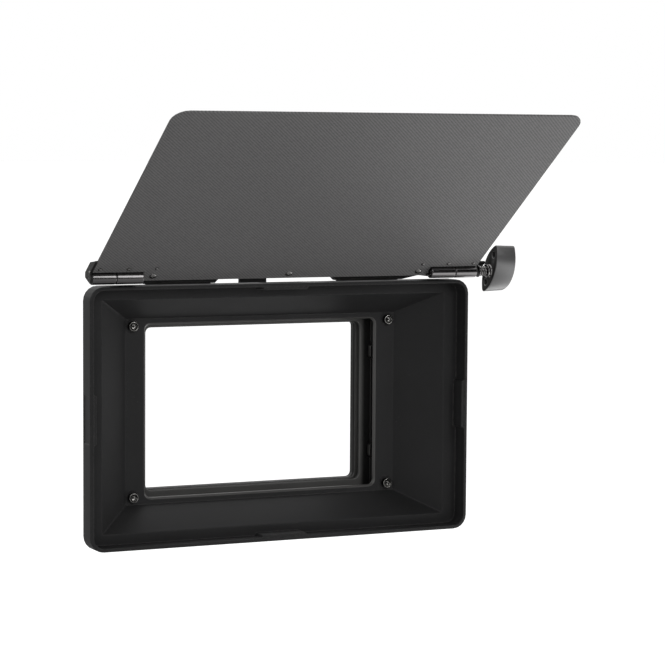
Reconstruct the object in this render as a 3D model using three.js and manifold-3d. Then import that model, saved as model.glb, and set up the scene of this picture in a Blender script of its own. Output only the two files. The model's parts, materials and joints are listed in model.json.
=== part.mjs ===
// Matte box for a film camera: a moulded hood, two filter stages behind it and a hinged top flag.
// Millimetres. X runs to the right as seen from the front, Y to the rear, Z up.
// The origin is the centre of the rear opening, in the plane of the rear plate's back face.

import * as THREE from 'three';
import { mergeVertices } from 'three/addons/utils/BufferGeometryUtils.js';
import Module from 'manifold-3d';

const wasm = await Module();
wasm.setup();

// Filter that the stages are made for
const filterWide = 143.5;
const filterTall = 101.6;
const filterThick = 4;
const filterPlay = 0.3;

// Fits
const seatGap = 0.1;
const runGap = 0.35;
const cutOver = 2;

// Hood, sized outwards from the filter: window, border, funnel, ledge and band
const windowLapWide = 1.35;
const windowLapTall = 2.7;
const borderWide = 12;
const borderTall = 3.5;
const flareWide = 21.6;
const flareTall = 12.1;
const ledgeWide = 10.35;
const ledgeTall = 7.95;
const rimDeep = 12.5;
const rimWall = 2.1;
const rimCorner = 8;
const rimFrontEdge = 1.2;
const rimBackEdge = 0.7;
const ledgeThick = 1.8;
const funnelDeep = 21.5;
const funnelWall = 2.3;
const creaseRadius = 0.6;
const flangeThick = 2.4;
const windowCorner = 3;
const windowBevel = 1.2;

// Pads at the middle of the hood's four sides
const padLong = 26;
const padDeep = 8;
const padSink = 1.6;

// Filter stages
const railWide = 12.4;
const ribThick = 1;
const ribReach = 1.4;
const floorThick = 5;
const stageCorner = 6;
const rearPlateThick = 5;
const rearBevel = 1;
const rearHoleRadius = 1.25;
const rearHoleDeep = 3.4;
const rearHoleSpread = 60;

// Filter tray
const trayThick = 6.7;
const trayWall = 1.75;
const trayLipWide = 5.65;
const trayLipTall = 5.2;
const trayTopBar = 9.4;
const trayCorner = 3;
const trayBevel = 0.5;
const retainerPlay = 0.15;
const retainerHeadRadius = 1.5;
const retainerScrewGrip = 0.5;
const tabWide = 17;
const tabTall = 23;
const tabSeatDeep = 6.2;
const tabThick = 1.6;
const tabFold = 0.9;
const tabCorner = 3;

// Cap screws that hold the hood and the stages together
const capHeadRadius = 2.7;
const capHeadTall = 3;
const capShankRadius = 1.5;
const capSocketAcross = 2.5;
const capSocketDeep = 1.5;
const capInset = 4.1;
const capGrip = 3.3;
const capSinkRadius = 3.6;
const capSinkDeep = 0.5;
const screwPlay = 0.2;

// Leaf springs in the slots
const leafThick = 0.5;
const leafWide = 3.6;
const leafFlat = 5.2;
const leafSlope = 4.2;
const leafFoot = 3;
const leafReach = 4.6;
const leafInset = 22;
const leafPocket = 1.1;

// Hinge of the flag
const hingeAhead = 4.1;
const hingeRise = 4.85;
const knuckleRadius = 3.2;
const knuckleFixedLong = 15.1;
const knuckleFlagLong = 13.5;
const pinRadius = 1.5;
const pinTipRadius = 0.8;
const hingeGap = 0.3;

// Top flag
const flagOverhang = 1.2;
const flagShort = 0.15;
const flagTail = 4.95;
const flagThick = 1.2;
const flagCorner = 8.5;
const flagStandoff = 0.84;
const flagPitch = THREE.MathUtils.degToRad(35.6);
const notchClear = 0.3;
const notchAhead = 3.75;
const barThick = 1.5;
const barTail = 3.5;
const barReach = 11.5;

// Ears of the hinge bar, and the guard that the right one carries over the clamp spring
const earThick = 1.3;
const earReach = 13.5;
const earBrow = 7.4;
const earCrown = 2.4;
const earBack = 4.1;
const earHigh = 1.86;
const earLow = 3.5;
const studRadius = 0.7;
const studTall = 0.3;
const guardReach = 7.3;
const guardFront = 2;
const guardThick = 1.2;

// Fasteners of the flag
const rivetRadius = 1;
const rivetHeadRadius = 1.5;
const rivetHeadTall = 0.6;
const rivetAhead = 6.9;
const rivetInset = 3.5;
const rivetPitch = 16.05;
const domeRadius = 2.1;
const domeTall = 1.1;
const domeBehind = 0.25;
const domeInset = 35.6;
const domeSocketAcross = 1.3;
const domeSocketDeep = 0.6;

// Brackets that carry the hinge on the hood
const bracketFlat = 44.5;
const bracketNeck = 8.7;
const bracketDeep = 5.7;
const bracketTall = 3.5;
const bracketSlant = 3.6;
const bracketBehind = 0.8;
const bracketRun = 2.5;
const armThick = 2.3;
const armDrop = 2.6;
const armBehindAxis = 1.2;
const seatInset = 2;
const bracketScrewInset = 9;
const bracketScrewGrip = 4.5;
const bracketHeadTall = 1.5;
const bracketSocketDeep = 1;

// Clamp at the right end of the hinge
const washerThick = 0.6;
const washerRadius = 3.5;
const coilTurns = 3;
const coilPitch = 1.33;
const coilWire = 0.4;
const coilRadius = 2.5;
const collarLong = 2.9;
const collarRadius = 3.75;
const collarGroove = 0.5;
const knobThick = 11.3;
const knobNearLong = 30.8;
const knobFarLong = 28.6;
const knobNearBroad = 13;
const knobFarBroad = 16;
const knobTipRadius = 1.8;
const knobRise = 1.3;
const knobEdge = 1.1;
const knobTilt = THREE.MathUtils.degToRad(30.5);
const knobBoreDeep = 7;
const dimpleRadius = 1.8;
const dimpleDeep = 1.5;
const dimpleOut = 9.2;

// Shares of a length
const groovedShare = 1 / 3;

// Counts
const roundSides = 32;
const smallSides = 16;
const cornerSteps = 5;
const edgeSteps = 3;
const coilSteps = 8;
const coilSides = 5;
const knobArcSteps = 10;
const knobTipSteps = 4;

// Derived: window, funnel and band of the hood
const windowWide = filterWide - 2 * windowLapWide;
const windowTall = filterTall - 2 * windowLapTall;
const throatWide = windowWide + 2 * borderWide;
const throatTall = windowTall + 2 * borderTall;
const mouthWide = throatWide + 2 * flareWide;
const mouthTall = throatTall + 2 * flareTall;
const rimWide = mouthWide + 2 * ledgeWide;
const rimTall = mouthTall + 2 * ledgeTall;

// Derived: depths, measured to the rear from the hood's front edge
const ledgeFront = rimDeep - ledgeThick;
const flangeFront = ledgeFront + funnelDeep;
const flangeBack = flangeFront + flangeThick;
const slotDeep = trayThick + 2 * runGap;
const ribFront = flangeBack + slotDeep;
const ribBack = ribFront + ribThick;
const rearPlateFront = ribBack + slotDeep;
const totalDeep = rearPlateFront + rearPlateThick;
const trayFront = ribBack + runGap;

// Derived: half widths and heights of the stages and the tray
const pocketHalf = filterWide / 2 + filterPlay;
const pocketFloor = -filterTall / 2 - filterPlay;
const pocketTop = filterTall / 2 + filterPlay;
const trayHalf = pocketHalf + trayWall;
const trayBottom = pocketFloor - trayWall;
const trayTop = pocketTop + trayTopBar;
const clearHalfWide = filterWide / 2 - trayLipWide;
const clearHalfTall = filterTall / 2 - trayLipTall;
const leafSpread = filterTall - 2 * leafInset;
const railInner = trayHalf + runGap;
const stageHalf = railInner + railWide;
const stageRise = -trayBottom + runGap + floorThick;
const capX = throatWide / 2 - capInset;
const capZ = throatTall / 2 - capInset;

// Derived: hinge axis and what lies along it
const hingeY = -totalDeep - hingeAhead;
const hingeZ = rimTall / 2 + hingeRise;
const boreRadius = pinRadius + hingeGap;
const flagWide = rimWide + 2 * flagOverhang;
const flagReach = rimTall + hingeRise - flagShort;
const flagKnuckleEnd = flagWide / 2;
const flagKnuckleStart = flagKnuckleEnd - knuckleFlagLong;
const knuckleSplit = flagKnuckleStart - hingeGap;
const fixedStart = knuckleSplit - knuckleFixedLong;
const notchInner = fixedStart - notchClear;
const bracketUnder = fixedStart - bracketNeck;
const bracketInner = bracketUnder - bracketFlat;
const earInner = flagKnuckleEnd + seatGap;
const earOuter = earInner + earThick;
const flagTopSide = flagStandoff + flagThick;
const barUnder = flagTopSide + seatGap;
const barTop = barUnder + barThick;
const earTop = barTop + earHigh;

// Finishes
const finish = {
  mouldedPlastic: { color: 0x2c2c2d, roughness: 0.55, metalness: 0 },
  anodised: { color: 0x1c1c1d, roughness: 0.42, metalness: 0.6 },
  blackSteel: { color: 0x242322, roughness: 0.3, metalness: 0.9 },
  springSteel: { color: 0x6d6c6a, roughness: 0.32, metalness: 1 },
  darkChrome: { color: 0x4c4b4c, roughness: 0.18, metalness: 1 },
  wovenSheet: { color: 0x5d5c5c, roughness: 0.7, metalness: 0 },
  knobPlastic: { color: 0x3b3a3b, roughness: 0.5, metalness: 0 },
};

const matteBox = new THREE.Group();

// Solids, joins and cuts

function dropFlat(indices) {
  const kept = [];
  for (let i = 0; i < indices.length; i += 3) {
    const [a, b, c] = [indices[i], indices[i + 1], indices[i + 2]];
    if (a !== b && b !== c && c !== a) kept.push(a, b, c);
  }
  return new Uint32Array(kept);
}

function solid(geometry) {
  const bare = geometry.clone();
  bare.deleteAttribute('normal');
  bare.deleteAttribute('uv');
  const merged = mergeVertices(bare);
  const vertProperties = new Float32Array(merged.attributes.position.array);
  const triVerts = dropFlat(merged.index.array);
  return new wasm.Manifold(new wasm.Mesh({ numProp: 3, vertProperties, triVerts }));
}

function join(...solids) {
  return solids.reduce((whole, piece) => whole.add(piece));
}

function cut(base, ...tools) {
  return tools.reduce((left, tool) => left.subtract(tool), base);
}

function toGeometry(body) {
  const { vertProperties, triVerts } = body.getMesh();
  const geometry = new THREE.BufferGeometry();
  geometry.setAttribute('position', new THREE.BufferAttribute(new Float32Array(vertProperties), 3));
  geometry.setIndex(new THREE.BufferAttribute(new Uint32Array(triVerts), 1));
  const facets = geometry.toNonIndexed();
  facets.computeVertexNormals();
  return facets;
}

function addPart(group, name, body, look) {
  const mesh = new THREE.Mesh(toGeometry(body), new THREE.MeshStandardMaterial(look));
  mesh.name = name;
  group.add(mesh);
  return mesh;
}

// Outlines and the solids made from them

function outline(points) {
  return new THREE.Shape(points.map(([x, y]) => new THREE.Vector2(x, y)));
}

function cornerArc(centreX, centreY, radius, quarter) {
  const points = [];
  for (let step = 0; step <= cornerSteps; step += 1) {
    const angle = (quarter + step / cornerSteps) * Math.PI / 2;
    points.push([centreX + radius * Math.cos(angle), centreY + radius * Math.sin(angle)]);
  }
  return points;
}

function roundedRect(halfWide, low, high, corner) {
  const side = halfWide - corner;
  return [
    ...cornerArc(side, high - corner, corner, 0),
    ...cornerArc(-side, high - corner, corner, 1),
    ...cornerArc(-side, low + corner, corner, 2),
    ...cornerArc(side, low + corner, corner, 3),
  ];
}

function centredRect(halfWide, halfTall, corner) {
  return roundedRect(halfWide, -halfTall, halfTall, corner);
}

// An outline in X and Z, given depth from front to back, measured from the hood's front edge
function slabY(points, front, back) {
  const geometry = new THREE.ExtrudeGeometry(outline(points), { depth: back - front, bevelEnabled: false });
  geometry.rotateX(Math.PI / 2);
  geometry.translate(0, back - totalDeep, 0);
  return solid(geometry);
}

// An outline in Y and Z, stretched along X
function slabX(points, left, right) {
  const geometry = new THREE.ExtrudeGeometry(outline(points), { depth: right - left, bevelEnabled: false });
  const turn = new THREE.Matrix4().makeBasis(
    new THREE.Vector3(0, 1, 0),
    new THREE.Vector3(0, 0, 1),
    new THREE.Vector3(1, 0, 0),
  );
  geometry.applyMatrix4(turn);
  geometry.translate(left, 0, 0);
  return solid(geometry);
}

// An outline in X and Y, stretched along Z
function slabZ(points, bottom, top) {
  const geometry = new THREE.ExtrudeGeometry(outline(points), { depth: top - bottom, bevelEnabled: false });
  geometry.translate(0, 0, bottom);
  return solid(geometry);
}

function block(x0, x1, y0, y1, z0, z1) {
  return slabZ([[x0, y0], [x1, y0], [x1, y1], [x0, y1]], z0, z1);
}

// A profile of radius and height turned round an axis. It runs up the outside, from the axis to the axis
// or, for a tube, round its wall.
function turned(profile, axis, sides) {
  const points = profile.map(([radius, along]) => new THREE.Vector2(radius, along));
  const geometry = new THREE.LatheGeometry(points, sides);
  if (axis === 'x') geometry.rotateZ(-Math.PI / 2);
  if (axis === 'z') geometry.rotateX(Math.PI / 2);
  return geometry;
}

function turnedAt(profile, axis, place, sides = smallSides) {
  const geometry = turned(profile, axis, sides);
  geometry.translate(...place);
  return solid(geometry);
}

function rod(radius, from, to) {
  return [[0, from], [radius, from], [radius, to], [0, to]];
}

function tube(inner, outer, from, to) {
  return [[inner, from], [outer, from], [outer, to], [inner, to], [inner, from]];
}

// A hexagonal socket's space, along Y or Z
function hexagon(across, from, to, axis, place) {
  const corners = 6;
  return turnedAt(rod(across / 2 / Math.cos(Math.PI / corners), from, to), axis, place, corners);
}

function ringOn(points, depth) {
  return points.map(([x, z]) => [x, depth - totalDeep, z]);
}

// Rings of equal count joined one after another, and the last to the first
function loopLoft(rings) {
  const count = rings[0].length;
  const positions = rings.flat(2);
  const indices = [];
  for (let ring = 0; ring < rings.length; ring += 1) {
    const next = (ring + 1) % rings.length;
    for (let side = 0; side < count; side += 1) {
      const beside = (side + 1) % count;
      const a = ring * count + side;
      const b = next * count + side;
      const c = next * count + beside;
      const d = ring * count + beside;
      indices.push(a, b, c, a, c, d);
    }
  }
  const geometry = new THREE.BufferGeometry();
  geometry.setAttribute('position', new THREE.Float32BufferAttribute(positions, 3));
  geometry.setIndex(indices);
  return solid(geometry);
}

// Rings joined into a solid that is capped flat at both ends
function cappedLoft(rings) {
  const count = rings[0].length;
  const last = (rings.length - 1) * count;
  const positions = rings.flat(2);
  const indices = [];
  for (let ring = 0; ring + 1 < rings.length; ring += 1) {
    for (let side = 0; side < count; side += 1) {
      const beside = (side + 1) % count;
      const a = ring * count + side;
      const d = ring * count + beside;
      indices.push(a, a + count, d + count, a, d + count, d);
    }
  }
  for (let side = 1; side + 1 < count; side += 1) {
    indices.push(0, side, side + 1);
    indices.push(last, last + side + 1, last + side);
  }
  const geometry = new THREE.BufferGeometry();
  geometry.setAttribute('position', new THREE.Float32BufferAttribute(positions, 3));
  geometry.setIndex(indices);
  return solid(geometry);
}

// A window through a plate, widened by a bevel at its front face
function bevelledWindow(halfWide, halfTall, corner, bevel, front, back) {
  const grown = bevel + cutOver;
  return cappedLoft([
    ringOn(centredRect(halfWide + grown, halfTall + grown, corner + grown), front - cutOver),
    ringOn(centredRect(halfWide, halfTall, corner), front + bevel),
    ringOn(centredRect(halfWide, halfTall, corner), back + cutOver),
  ]);
}

// Both sides of the part, and both levels
const sides = [-1, 1];
const sideName = { '-1': 'left', 1: 'right' };
const levelName = { '-1': 'lower', 1: 'upper' };

// Hood: rim band, ledge, funnel with creased corners and the flange with the front window

function hoodShell() {
  const halfWide = rimWide / 2;
  const halfTall = rimTall / 2;
  const rings = [];
  const addRing = (depth, wide, tall, corner) => rings.push(ringOn(centredRect(wide, tall, corner), depth));
  for (let step = 0; step <= edgeSteps; step += 1) {
    const angle = step / edgeSteps * Math.PI / 2;
    const inset = rimFrontEdge * (1 - Math.sin(angle));
    const depth = rimFrontEdge * (1 - Math.cos(angle));
    addRing(depth, halfWide - inset, halfTall - inset, rimCorner - inset);
  }
  addRing(rimDeep - rimBackEdge, halfWide, halfTall, rimCorner);
  addRing(rimDeep, halfWide - rimBackEdge, halfTall - rimBackEdge, rimCorner - rimBackEdge);
  const outerCrease = creaseRadius + funnelWall;
  addRing(rimDeep, mouthWide / 2 + funnelWall, mouthTall / 2 + funnelWall, outerCrease);
  addRing(flangeFront, throatWide / 2 + funnelWall, throatTall / 2 + funnelWall, outerCrease);
  addRing(flangeFront, stageHalf, stageRise, stageCorner);
  addRing(flangeBack, stageHalf, stageRise, stageCorner);
  addRing(flangeBack, windowWide / 2, windowTall / 2, windowCorner);
  addRing(flangeFront + windowBevel, windowWide / 2, windowTall / 2, windowCorner);
  const flared = windowCorner + windowBevel;
  addRing(flangeFront, windowWide / 2 + windowBevel, windowTall / 2 + windowBevel, flared);
  addRing(flangeFront, throatWide / 2, throatTall / 2, creaseRadius);
  addRing(ledgeFront, mouthWide / 2, mouthTall / 2, creaseRadius);
  addRing(ledgeFront, halfWide - rimWall, halfTall - rimWall, rimCorner - rimWall);
  addRing(0, halfWide - rimWall, halfTall - rimWall, rimCorner - rimWall);
  return loopLoft(rings);
}

// A pad is a shallow pocket outside the band and a bump of the same length inside it
function padOutline(wallOuter) {
  const half = padLong / 2;
  const low = wallOuter - rimWall - padSink;
  const high = wallOuter - rimWall / 2;
  return [[-half - padSink, high], [-half, low], [half, low], [half + padSink, high]];
}

function turnOutline(points, quarters) {
  const angle = quarters * Math.PI / 2;
  return points.map(([x, y]) => [
    x * Math.cos(angle) - y * Math.sin(angle),
    x * Math.sin(angle) + y * Math.cos(angle),
  ]);
}

function padCut(wallOuter, quarters) {
  const half = padLong / 2;
  const middle = rimDeep / 2;
  const low = wallOuter - padSink;
  const high = wallOuter + cutOver;
  const points = turnOutline([[-half, low], [half, low], [half, high], [-half, high]], quarters);
  return slabY(points, middle - padDeep / 2, middle + padDeep / 2);
}

function padBump(wallOuter, quarters) {
  return slabY(turnOutline(padOutline(wallOuter), quarters), rimFrontEdge / 2, rimDeep - ledgeThick / 2);
}

// The raised seats that the hinge brackets are screwed to, behind the top of the band
function bracketSeat(side) {
  const front = rimDeep + bracketBehind;
  const inner = bracketInner + bracketSlant + seatInset;
  const outer = bracketUnder - seatInset;
  const foot = throatTall / 2 + funnelWall / 2;
  const head = rimTall / 2 - seatGap;
  const points = [[side * inner, foot], [side * outer, foot], [side * outer, head], [side * inner, head]];
  const post = slabY(side > 0 ? points : points.reverse(), front, front + bracketDeep);
  return cut(post, funnelHollow());
}

// The space inside the funnel, which keeps the seats out of it
function funnelHollow() {
  return cappedLoft([
    ringOn(centredRect(mouthWide / 2, mouthTall / 2, creaseRadius), ledgeFront),
    ringOn(centredRect(throatWide / 2, throatTall / 2, creaseRadius), flangeFront),
  ]);
}

function bracketScrewPlaces(side) {
  const inner = bracketInner + bracketScrewInset;
  const outer = bracketUnder - bracketScrewInset;
  const y = rimDeep + bracketBehind + bracketDeep / 2 - totalDeep;
  return { inner: [side * inner, y], outer: [side * outer, y] };
}

function capPlaces() {
  const places = [];
  for (const level of sides) {
    for (const side of sides) places.push({ side, level, x: side * capX, z: level * capZ });
  }
  return places;
}

function makeHood() {
  let body = hoodShell();
  const walls = [rimTall / 2, rimWide / 2, rimTall / 2, rimWide / 2];
  walls.forEach((wall, quarter) => {
    body = join(body, padBump(wall, quarter));
    body = cut(body, padCut(wall, quarter));
  });
  for (const side of sides) {
    body = join(body, bracketSeat(side));
    for (const [x, y] of Object.values(bracketScrewPlaces(side))) {
      const seat = rimTall / 2;
      const hole = rod(capShankRadius + screwPlay, seat - bracketScrewGrip - screwPlay, seat + cutOver);
      body = cut(body, turnedAt(hole, 'z', [x, y, 0]));
    }
  }
  for (const { x, z } of capPlaces()) {
    const through = rod(capShankRadius + screwPlay, flangeFront - cutOver, flangeBack + cutOver);
    const sink = rod(capSinkRadius, flangeFront - cutOver, flangeFront + capSinkDeep);
    body = cut(body, turnedAt(through, 'y', [x, -totalDeep, z]));
    body = cut(body, turnedAt(sink, 'y', [x, -totalDeep, z]));
  }
  addPart(matteBox, 'hood', body, finish.mouldedPlastic);
}

// Filter stages: two frames open at the top, and the rear plate

function stageFrame(front, back) {
  const inner = railInner;
  const floor = trayBottom - runGap;
  const high = stageRise + cutOver;
  const outer = centredRect(stageHalf, stageRise, stageCorner);
  const channel = [[-inner, floor], [inner, floor], [inner, high], [-inner, high]];
  return cut(slabY(outer, front, back), slabY(channel, front - cutOver, back + cutOver));
}

function capHoles(front, back) {
  const holes = capPlaces().map(({ x, z }) => (
    turnedAt(rod(capShankRadius + screwPlay, front - cutOver, back), 'y', [x, -totalDeep, z])
  ));
  return join(...holes);
}

function leafPlaces() {
  const places = [];
  for (const level of sides) {
    for (const side of sides) places.push({ side, level, z: level * leafSpread / 2 });
  }
  return places;
}

function leafPockets(slotFront) {
  const half = leafFlat / 2 + leafSlope + leafFoot + seatGap;
  const middle = slotFront + slotDeep / 2;
  const pockets = leafPlaces().map(({ side, z }) => {
    const x0 = railInner - cutOver;
    const x1 = railInner + leafPocket;
    const low = z - half;
    const high = z + half;
    const points = [[side * x0, low], [side * x1, low], [side * x1, high], [side * x0, high]];
    const across = leafWide / 2 + seatGap;
    return slabY(side > 0 ? points : points.reverse(), middle - across, middle + across);
  });
  return join(...pockets);
}

function makeStages() {
  const frontFrom = flangeBack + seatGap;
  const rearFrom = ribBack + seatGap;
  const rearTo = rearPlateFront - seatGap;
  let front = join(stageFrame(frontFrom, ribBack), slotRib());
  front = cut(front, capHoles(frontFrom, ribBack + cutOver), leafPockets(flangeBack));
  addPart(matteBox, 'front_stage_frame', front, finish.anodised);
  let rear = stageFrame(rearFrom, rearTo);
  rear = cut(rear, capHoles(rearFrom, rearTo + cutOver), leafPockets(ribBack));
  addPart(matteBox, 'rear_stage_frame', rear, finish.anodised);
}

// The rib between the two slots stands a little way in from both rails
function slotRib() {
  const floor = trayBottom - runGap;
  const inner = railInner - ribReach;
  const full = [[-railInner, floor], [railInner, floor], [railInner, stageRise], [-railInner, stageRise]];
  const high = stageRise + cutOver;
  const low = floor + ribReach;
  const open = [[-inner, low], [inner, low], [inner, high], [-inner, high]];
  const grown = full.map(([x, z]) => [x + Math.sign(x) * ribReach, z - (z < 0 ? ribReach : 0)]);
  return cut(slabY(grown, ribFront, ribBack), slabY(open, ribFront - cutOver, ribBack + cutOver));
}

function makeRearPlate() {
  const outer = slabY(centredRect(stageHalf, stageRise, stageCorner), rearPlateFront, totalDeep);
  const clear = bevelledWindow(clearHalfWide, clearHalfTall, trayCorner, rearBevel, rearPlateFront, totalDeep);
  const holeX = (clearHalfWide + stageHalf) / 2;
  const tapped = [];
  for (const side of sides) {
    for (const level of sides) {
      const hole = rod(rearHoleRadius, totalDeep - rearHoleDeep, totalDeep + cutOver);
      tapped.push(turnedAt(hole, 'y', [side * holeX, -totalDeep, level * rearHoleSpread / 2]));
    }
  }
  const blind = capHoles(rearPlateFront, rearPlateFront + capGrip + screwPlay);
  addPart(matteBox, 'rear_plate', cut(outer, clear, blind, ...tapped), finish.anodised);
}

// Cap screws with a hexagon socket

function makeCapScrews() {
  const seat = flangeFront + capSinkDeep - seatGap;
  const top = seat - capHeadTall;
  const tip = rearPlateFront + capGrip;
  const profile = [
    [0, top], [capHeadRadius - capSinkDeep, top], [capHeadRadius, top + capSinkDeep],
    [capHeadRadius, seat], [capShankRadius, seat], [capShankRadius, tip], [0, tip],
  ];
  for (const { side, level, x, z } of capPlaces()) {
    const place = [x, -totalDeep, z];
    const socket = hexagon(capSocketAcross, top - cutOver, top + capSocketDeep, 'y', place);
    const body = cut(turnedAt(profile, 'y', place), socket);
    addPart(matteBox, `stack_screw_${levelName[level]}_${sideName[side]}`, body, finish.blackSteel);
  }
}

// Leaf springs: bowed in the empty front slot, pressed flat by the tray in the rear one

function stripOutline(line, thick) {
  const back = line.map(([x, z]) => [x + thick, z]).reverse();
  return [...line, ...back];
}

function leafLine(bow) {
  const flat = leafFlat / 2;
  const slope = flat + leafSlope;
  const foot = slope + leafFoot;
  const rest = railInner + leafPocket - leafThick - seatGap;
  return [[rest, foot], [rest, slope], [rest - bow, flat], [rest - bow, -flat], [rest, -slope], [rest, -foot]];
}

function makeLeafSprings() {
  const stages = [['front', flangeBack, leafReach], ['rear', ribBack, 0]];
  for (const [stage, slotFront, bow] of stages) {
    const middle = slotFront + slotDeep / 2;
    for (const { side, level, z } of leafPlaces()) {
      const strip = stripOutline(leafLine(bow), leafThick).map(([x, dz]) => [side * x, z + dz]);
      const points = side > 0 ? strip.reverse() : strip;
      const body = slabY(points, middle - leafWide / 2, middle + leafWide / 2);
      const name = `leaf_spring_${stage}_${levelName[level]}_${sideName[side]}`;
      addPart(matteBox, name, body, finish.springSteel);
    }
  }
}

// Filter tray: a frame with a channel for the filter, open at the top and closed there by a retainer

function makeTray() {
  const back = trayFront + trayThick;
  const middle = (trayFront + back) / 2;
  const channelHalf = (filterThick + filterPlay) / 2;
  const outer = slabY(roundedRect(trayHalf, trayBottom, trayTop, trayCorner / 2), trayFront, back);
  const clear = bevelledWindow(clearHalfWide, clearHalfTall, trayCorner, trayBevel, trayFront, back);
  const channel = [
    [-pocketHalf, pocketFloor], [pocketHalf, pocketFloor],
    [pocketHalf, trayTop + cutOver], [-pocketHalf, trayTop + cutOver],
  ];
  const pocket = slabY(channel, middle - channelHalf, middle + channelHalf);
  const screws = retainerScrewPlaces().map(([x, z]) => (
    turnedAt(rod(retainerHeadRadius, middle, back + cutOver), 'y', [x, -totalDeep, z])
  ));
  addPart(matteBox, 'filter_tray', cut(outer, clear, pocket, ...screws), finish.anodised);
  makeRetainer(middle, channelHalf, back);
  makePullTab(middle);
}

function retainerScrewPlaces() {
  const z = pocketTop + trayTopBar / 2;
  return sides.map((side) => [side * (clearHalfWide - trayTopBar), z]);
}

function makeRetainer(middle, channelHalf, back) {
  const half = channelHalf - retainerPlay;
  const low = pocketTop - filterPlay;
  const bar = roundedRect(pocketHalf - retainerPlay, low, trayTop - retainerPlay, retainerPlay);
  const tabSlot = tabThick / 2 + tabFold / 2 + retainerPlay;
  const slot = block(
    -tabWide / 2 - retainerPlay, tabWide / 2 + retainerPlay,
    middle - totalDeep - tabSlot, middle - totalDeep + tabSlot,
    trayTop - tabSeatDeep, trayTop + cutOver,
  );
  const places = retainerScrewPlaces();
  const tip = middle - retainerScrewGrip;
  const holes = places.map(([x, z]) => (
    turnedAt(rod(rivetRadius + screwPlay, tip - screwPlay, back + cutOver), 'y', [x, -totalDeep, z])
  ));
  const body = cut(slabY(bar, middle - half, middle + half), slot, ...holes);
  addPart(matteBox, 'filter_retainer', body, finish.anodised);
  const head = back - seatGap;
  const seat = middle + channelHalf;
  const headRadius = retainerHeadRadius - seatGap;
  const profile = [
    [0, tip], [rivetRadius, tip], [rivetRadius, seat],
    [headRadius, seat], [headRadius, head], [0, head],
  ];
  for (const [x, z] of places) {
    const name = `retainer_screw_${sideName[Math.sign(x)]}`;
    addPart(matteBox, name, turnedAt(profile, 'y', [x, -totalDeep, z]), finish.blackSteel);
  }
}

// The pull tab is folded along its middle, so its two halves face slightly apart
function makePullTab(middle) {
  const half = tabWide / 2;
  const mid = middle - totalDeep;
  const front = mid - tabThick / 2;
  const back = mid + tabThick / 2;
  const fold = tabFold / 2;
  const plan = [
    [-half, front + fold], [0, front - fold], [half, front + fold],
    [half, back + fold], [0, back - fold], [-half, back + fold],
  ];
  const low = trayTop - tabSeatDeep + retainerPlay;
  const face = slabY(
    roundedRect(half, low - tabCorner, low + tabTall, tabCorner),
    middle - tabWide, middle + tabWide,
  );
  const body = slabZ(plan, low, low + tabTall).intersect(face);
  addPart(matteBox, 'pull_tab', body, finish.mouldedPlastic);
}

// Hinge brackets on the hood, with the arms that hold the fixed knuckles

function makeBrackets() {
  const base = rimTall / 2;
  const top = base + bracketTall;
  const armTop = hingeZ - armDrop + armThick;
  const armLow = hingeZ - armDrop;
  const front = rimDeep + bracketBehind;
  const back = front + bracketDeep;
  const bar = [
    [bracketInner + bracketSlant, base], [bracketUnder, base], [fixedStart + bracketRun, armLow],
    [knuckleSplit, armLow], [knuckleSplit, armTop], [fixedStart, armTop], [fixedStart, top],
    [bracketInner, top],
  ];
  for (const side of sides) {
    const turnedBar = bar.map(([x, z]) => [side * x, z]);
    const beam = slabY(side > 0 ? turnedBar : turnedBar.reverse(), front, back);
    const [x0, x1] = side > 0 ? [fixedStart, knuckleSplit] : [-knuckleSplit, -fixedStart];
    const arm = block(x0, x1, hingeY + armBehindAxis, front - totalDeep + seatGap, armLow, armTop);
    const barrel = knuckleCut();
    const holes = Object.values(bracketScrewPlaces(side)).map(([x, y]) => (
      turnedAt(rod(capShankRadius + screwPlay, base - cutOver, top + cutOver), 'z', [x, y, 0])
    ));
    const body = cut(join(beam, arm), barrel, ...holes);
    addPart(matteBox, `flag_bracket_${sideName[side]}`, body, finish.anodised);
    makeBracketScrews(side, top);
  }
}

function knuckleCut() {
  const reach = knuckleSplit + cutOver;
  return turnedAt(rod(knuckleRadius + seatGap, -reach, reach), 'x', [0, hingeY, hingeZ], roundSides);
}

function makeBracketScrews(side, top) {
  const seat = top + seatGap;
  const tip = rimTall / 2 - bracketScrewGrip;
  const head = seat + bracketHeadTall;
  const profile = [
    [0, tip], [capShankRadius, tip], [capShankRadius, seat], [capHeadRadius, seat],
    [capHeadRadius, head - capSinkDeep], [capHeadRadius - capSinkDeep, head], [0, head],
  ];
  for (const [where, [x, y]] of Object.entries(bracketScrewPlaces(side))) {
    const place = [x, y, 0];
    const socket = hexagon(capSocketAcross, head - bracketSocketDeep, head + cutOver, 'z', place);
    const body = cut(turnedAt(profile, 'z', place), socket);
    addPart(matteBox, `bracket_screw_${sideName[side]}_${where}`, body, finish.blackSteel);
  }
}

// Knuckles and the hinge pin. The clamp spindle takes the pin's place on the right.

function alongHinge(profile, side) {
  const geometry = turned(profile, 'x', roundSides);
  if (side < 0) geometry.rotateZ(Math.PI);
  geometry.translate(0, hingeY, hingeZ);
  return solid(geometry);
}

function makeFixedKnuckles() {
  for (const side of sides) {
    const wall = tube(boreRadius, knuckleRadius, fixedStart, knuckleSplit);
    addPart(matteBox, `knuckle_fixed_${sideName[side]}`, alongHinge(wall, side), finish.darkChrome);
  }
}

function makeHingePin() {
  const profile = [
    [0, fixedStart + seatGap], [pinRadius, fixedStart + seatGap], [pinRadius, flagKnuckleEnd],
    [pinTipRadius, flagKnuckleEnd], [pinTipRadius, earOuter], [0, earOuter],
  ];
  addPart(matteBox, 'hinge_pin', alongHinge(profile, -1), finish.darkChrome);
}

// Flag: everything on it is modelled flat about the hinge axis and then tipped up

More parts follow.
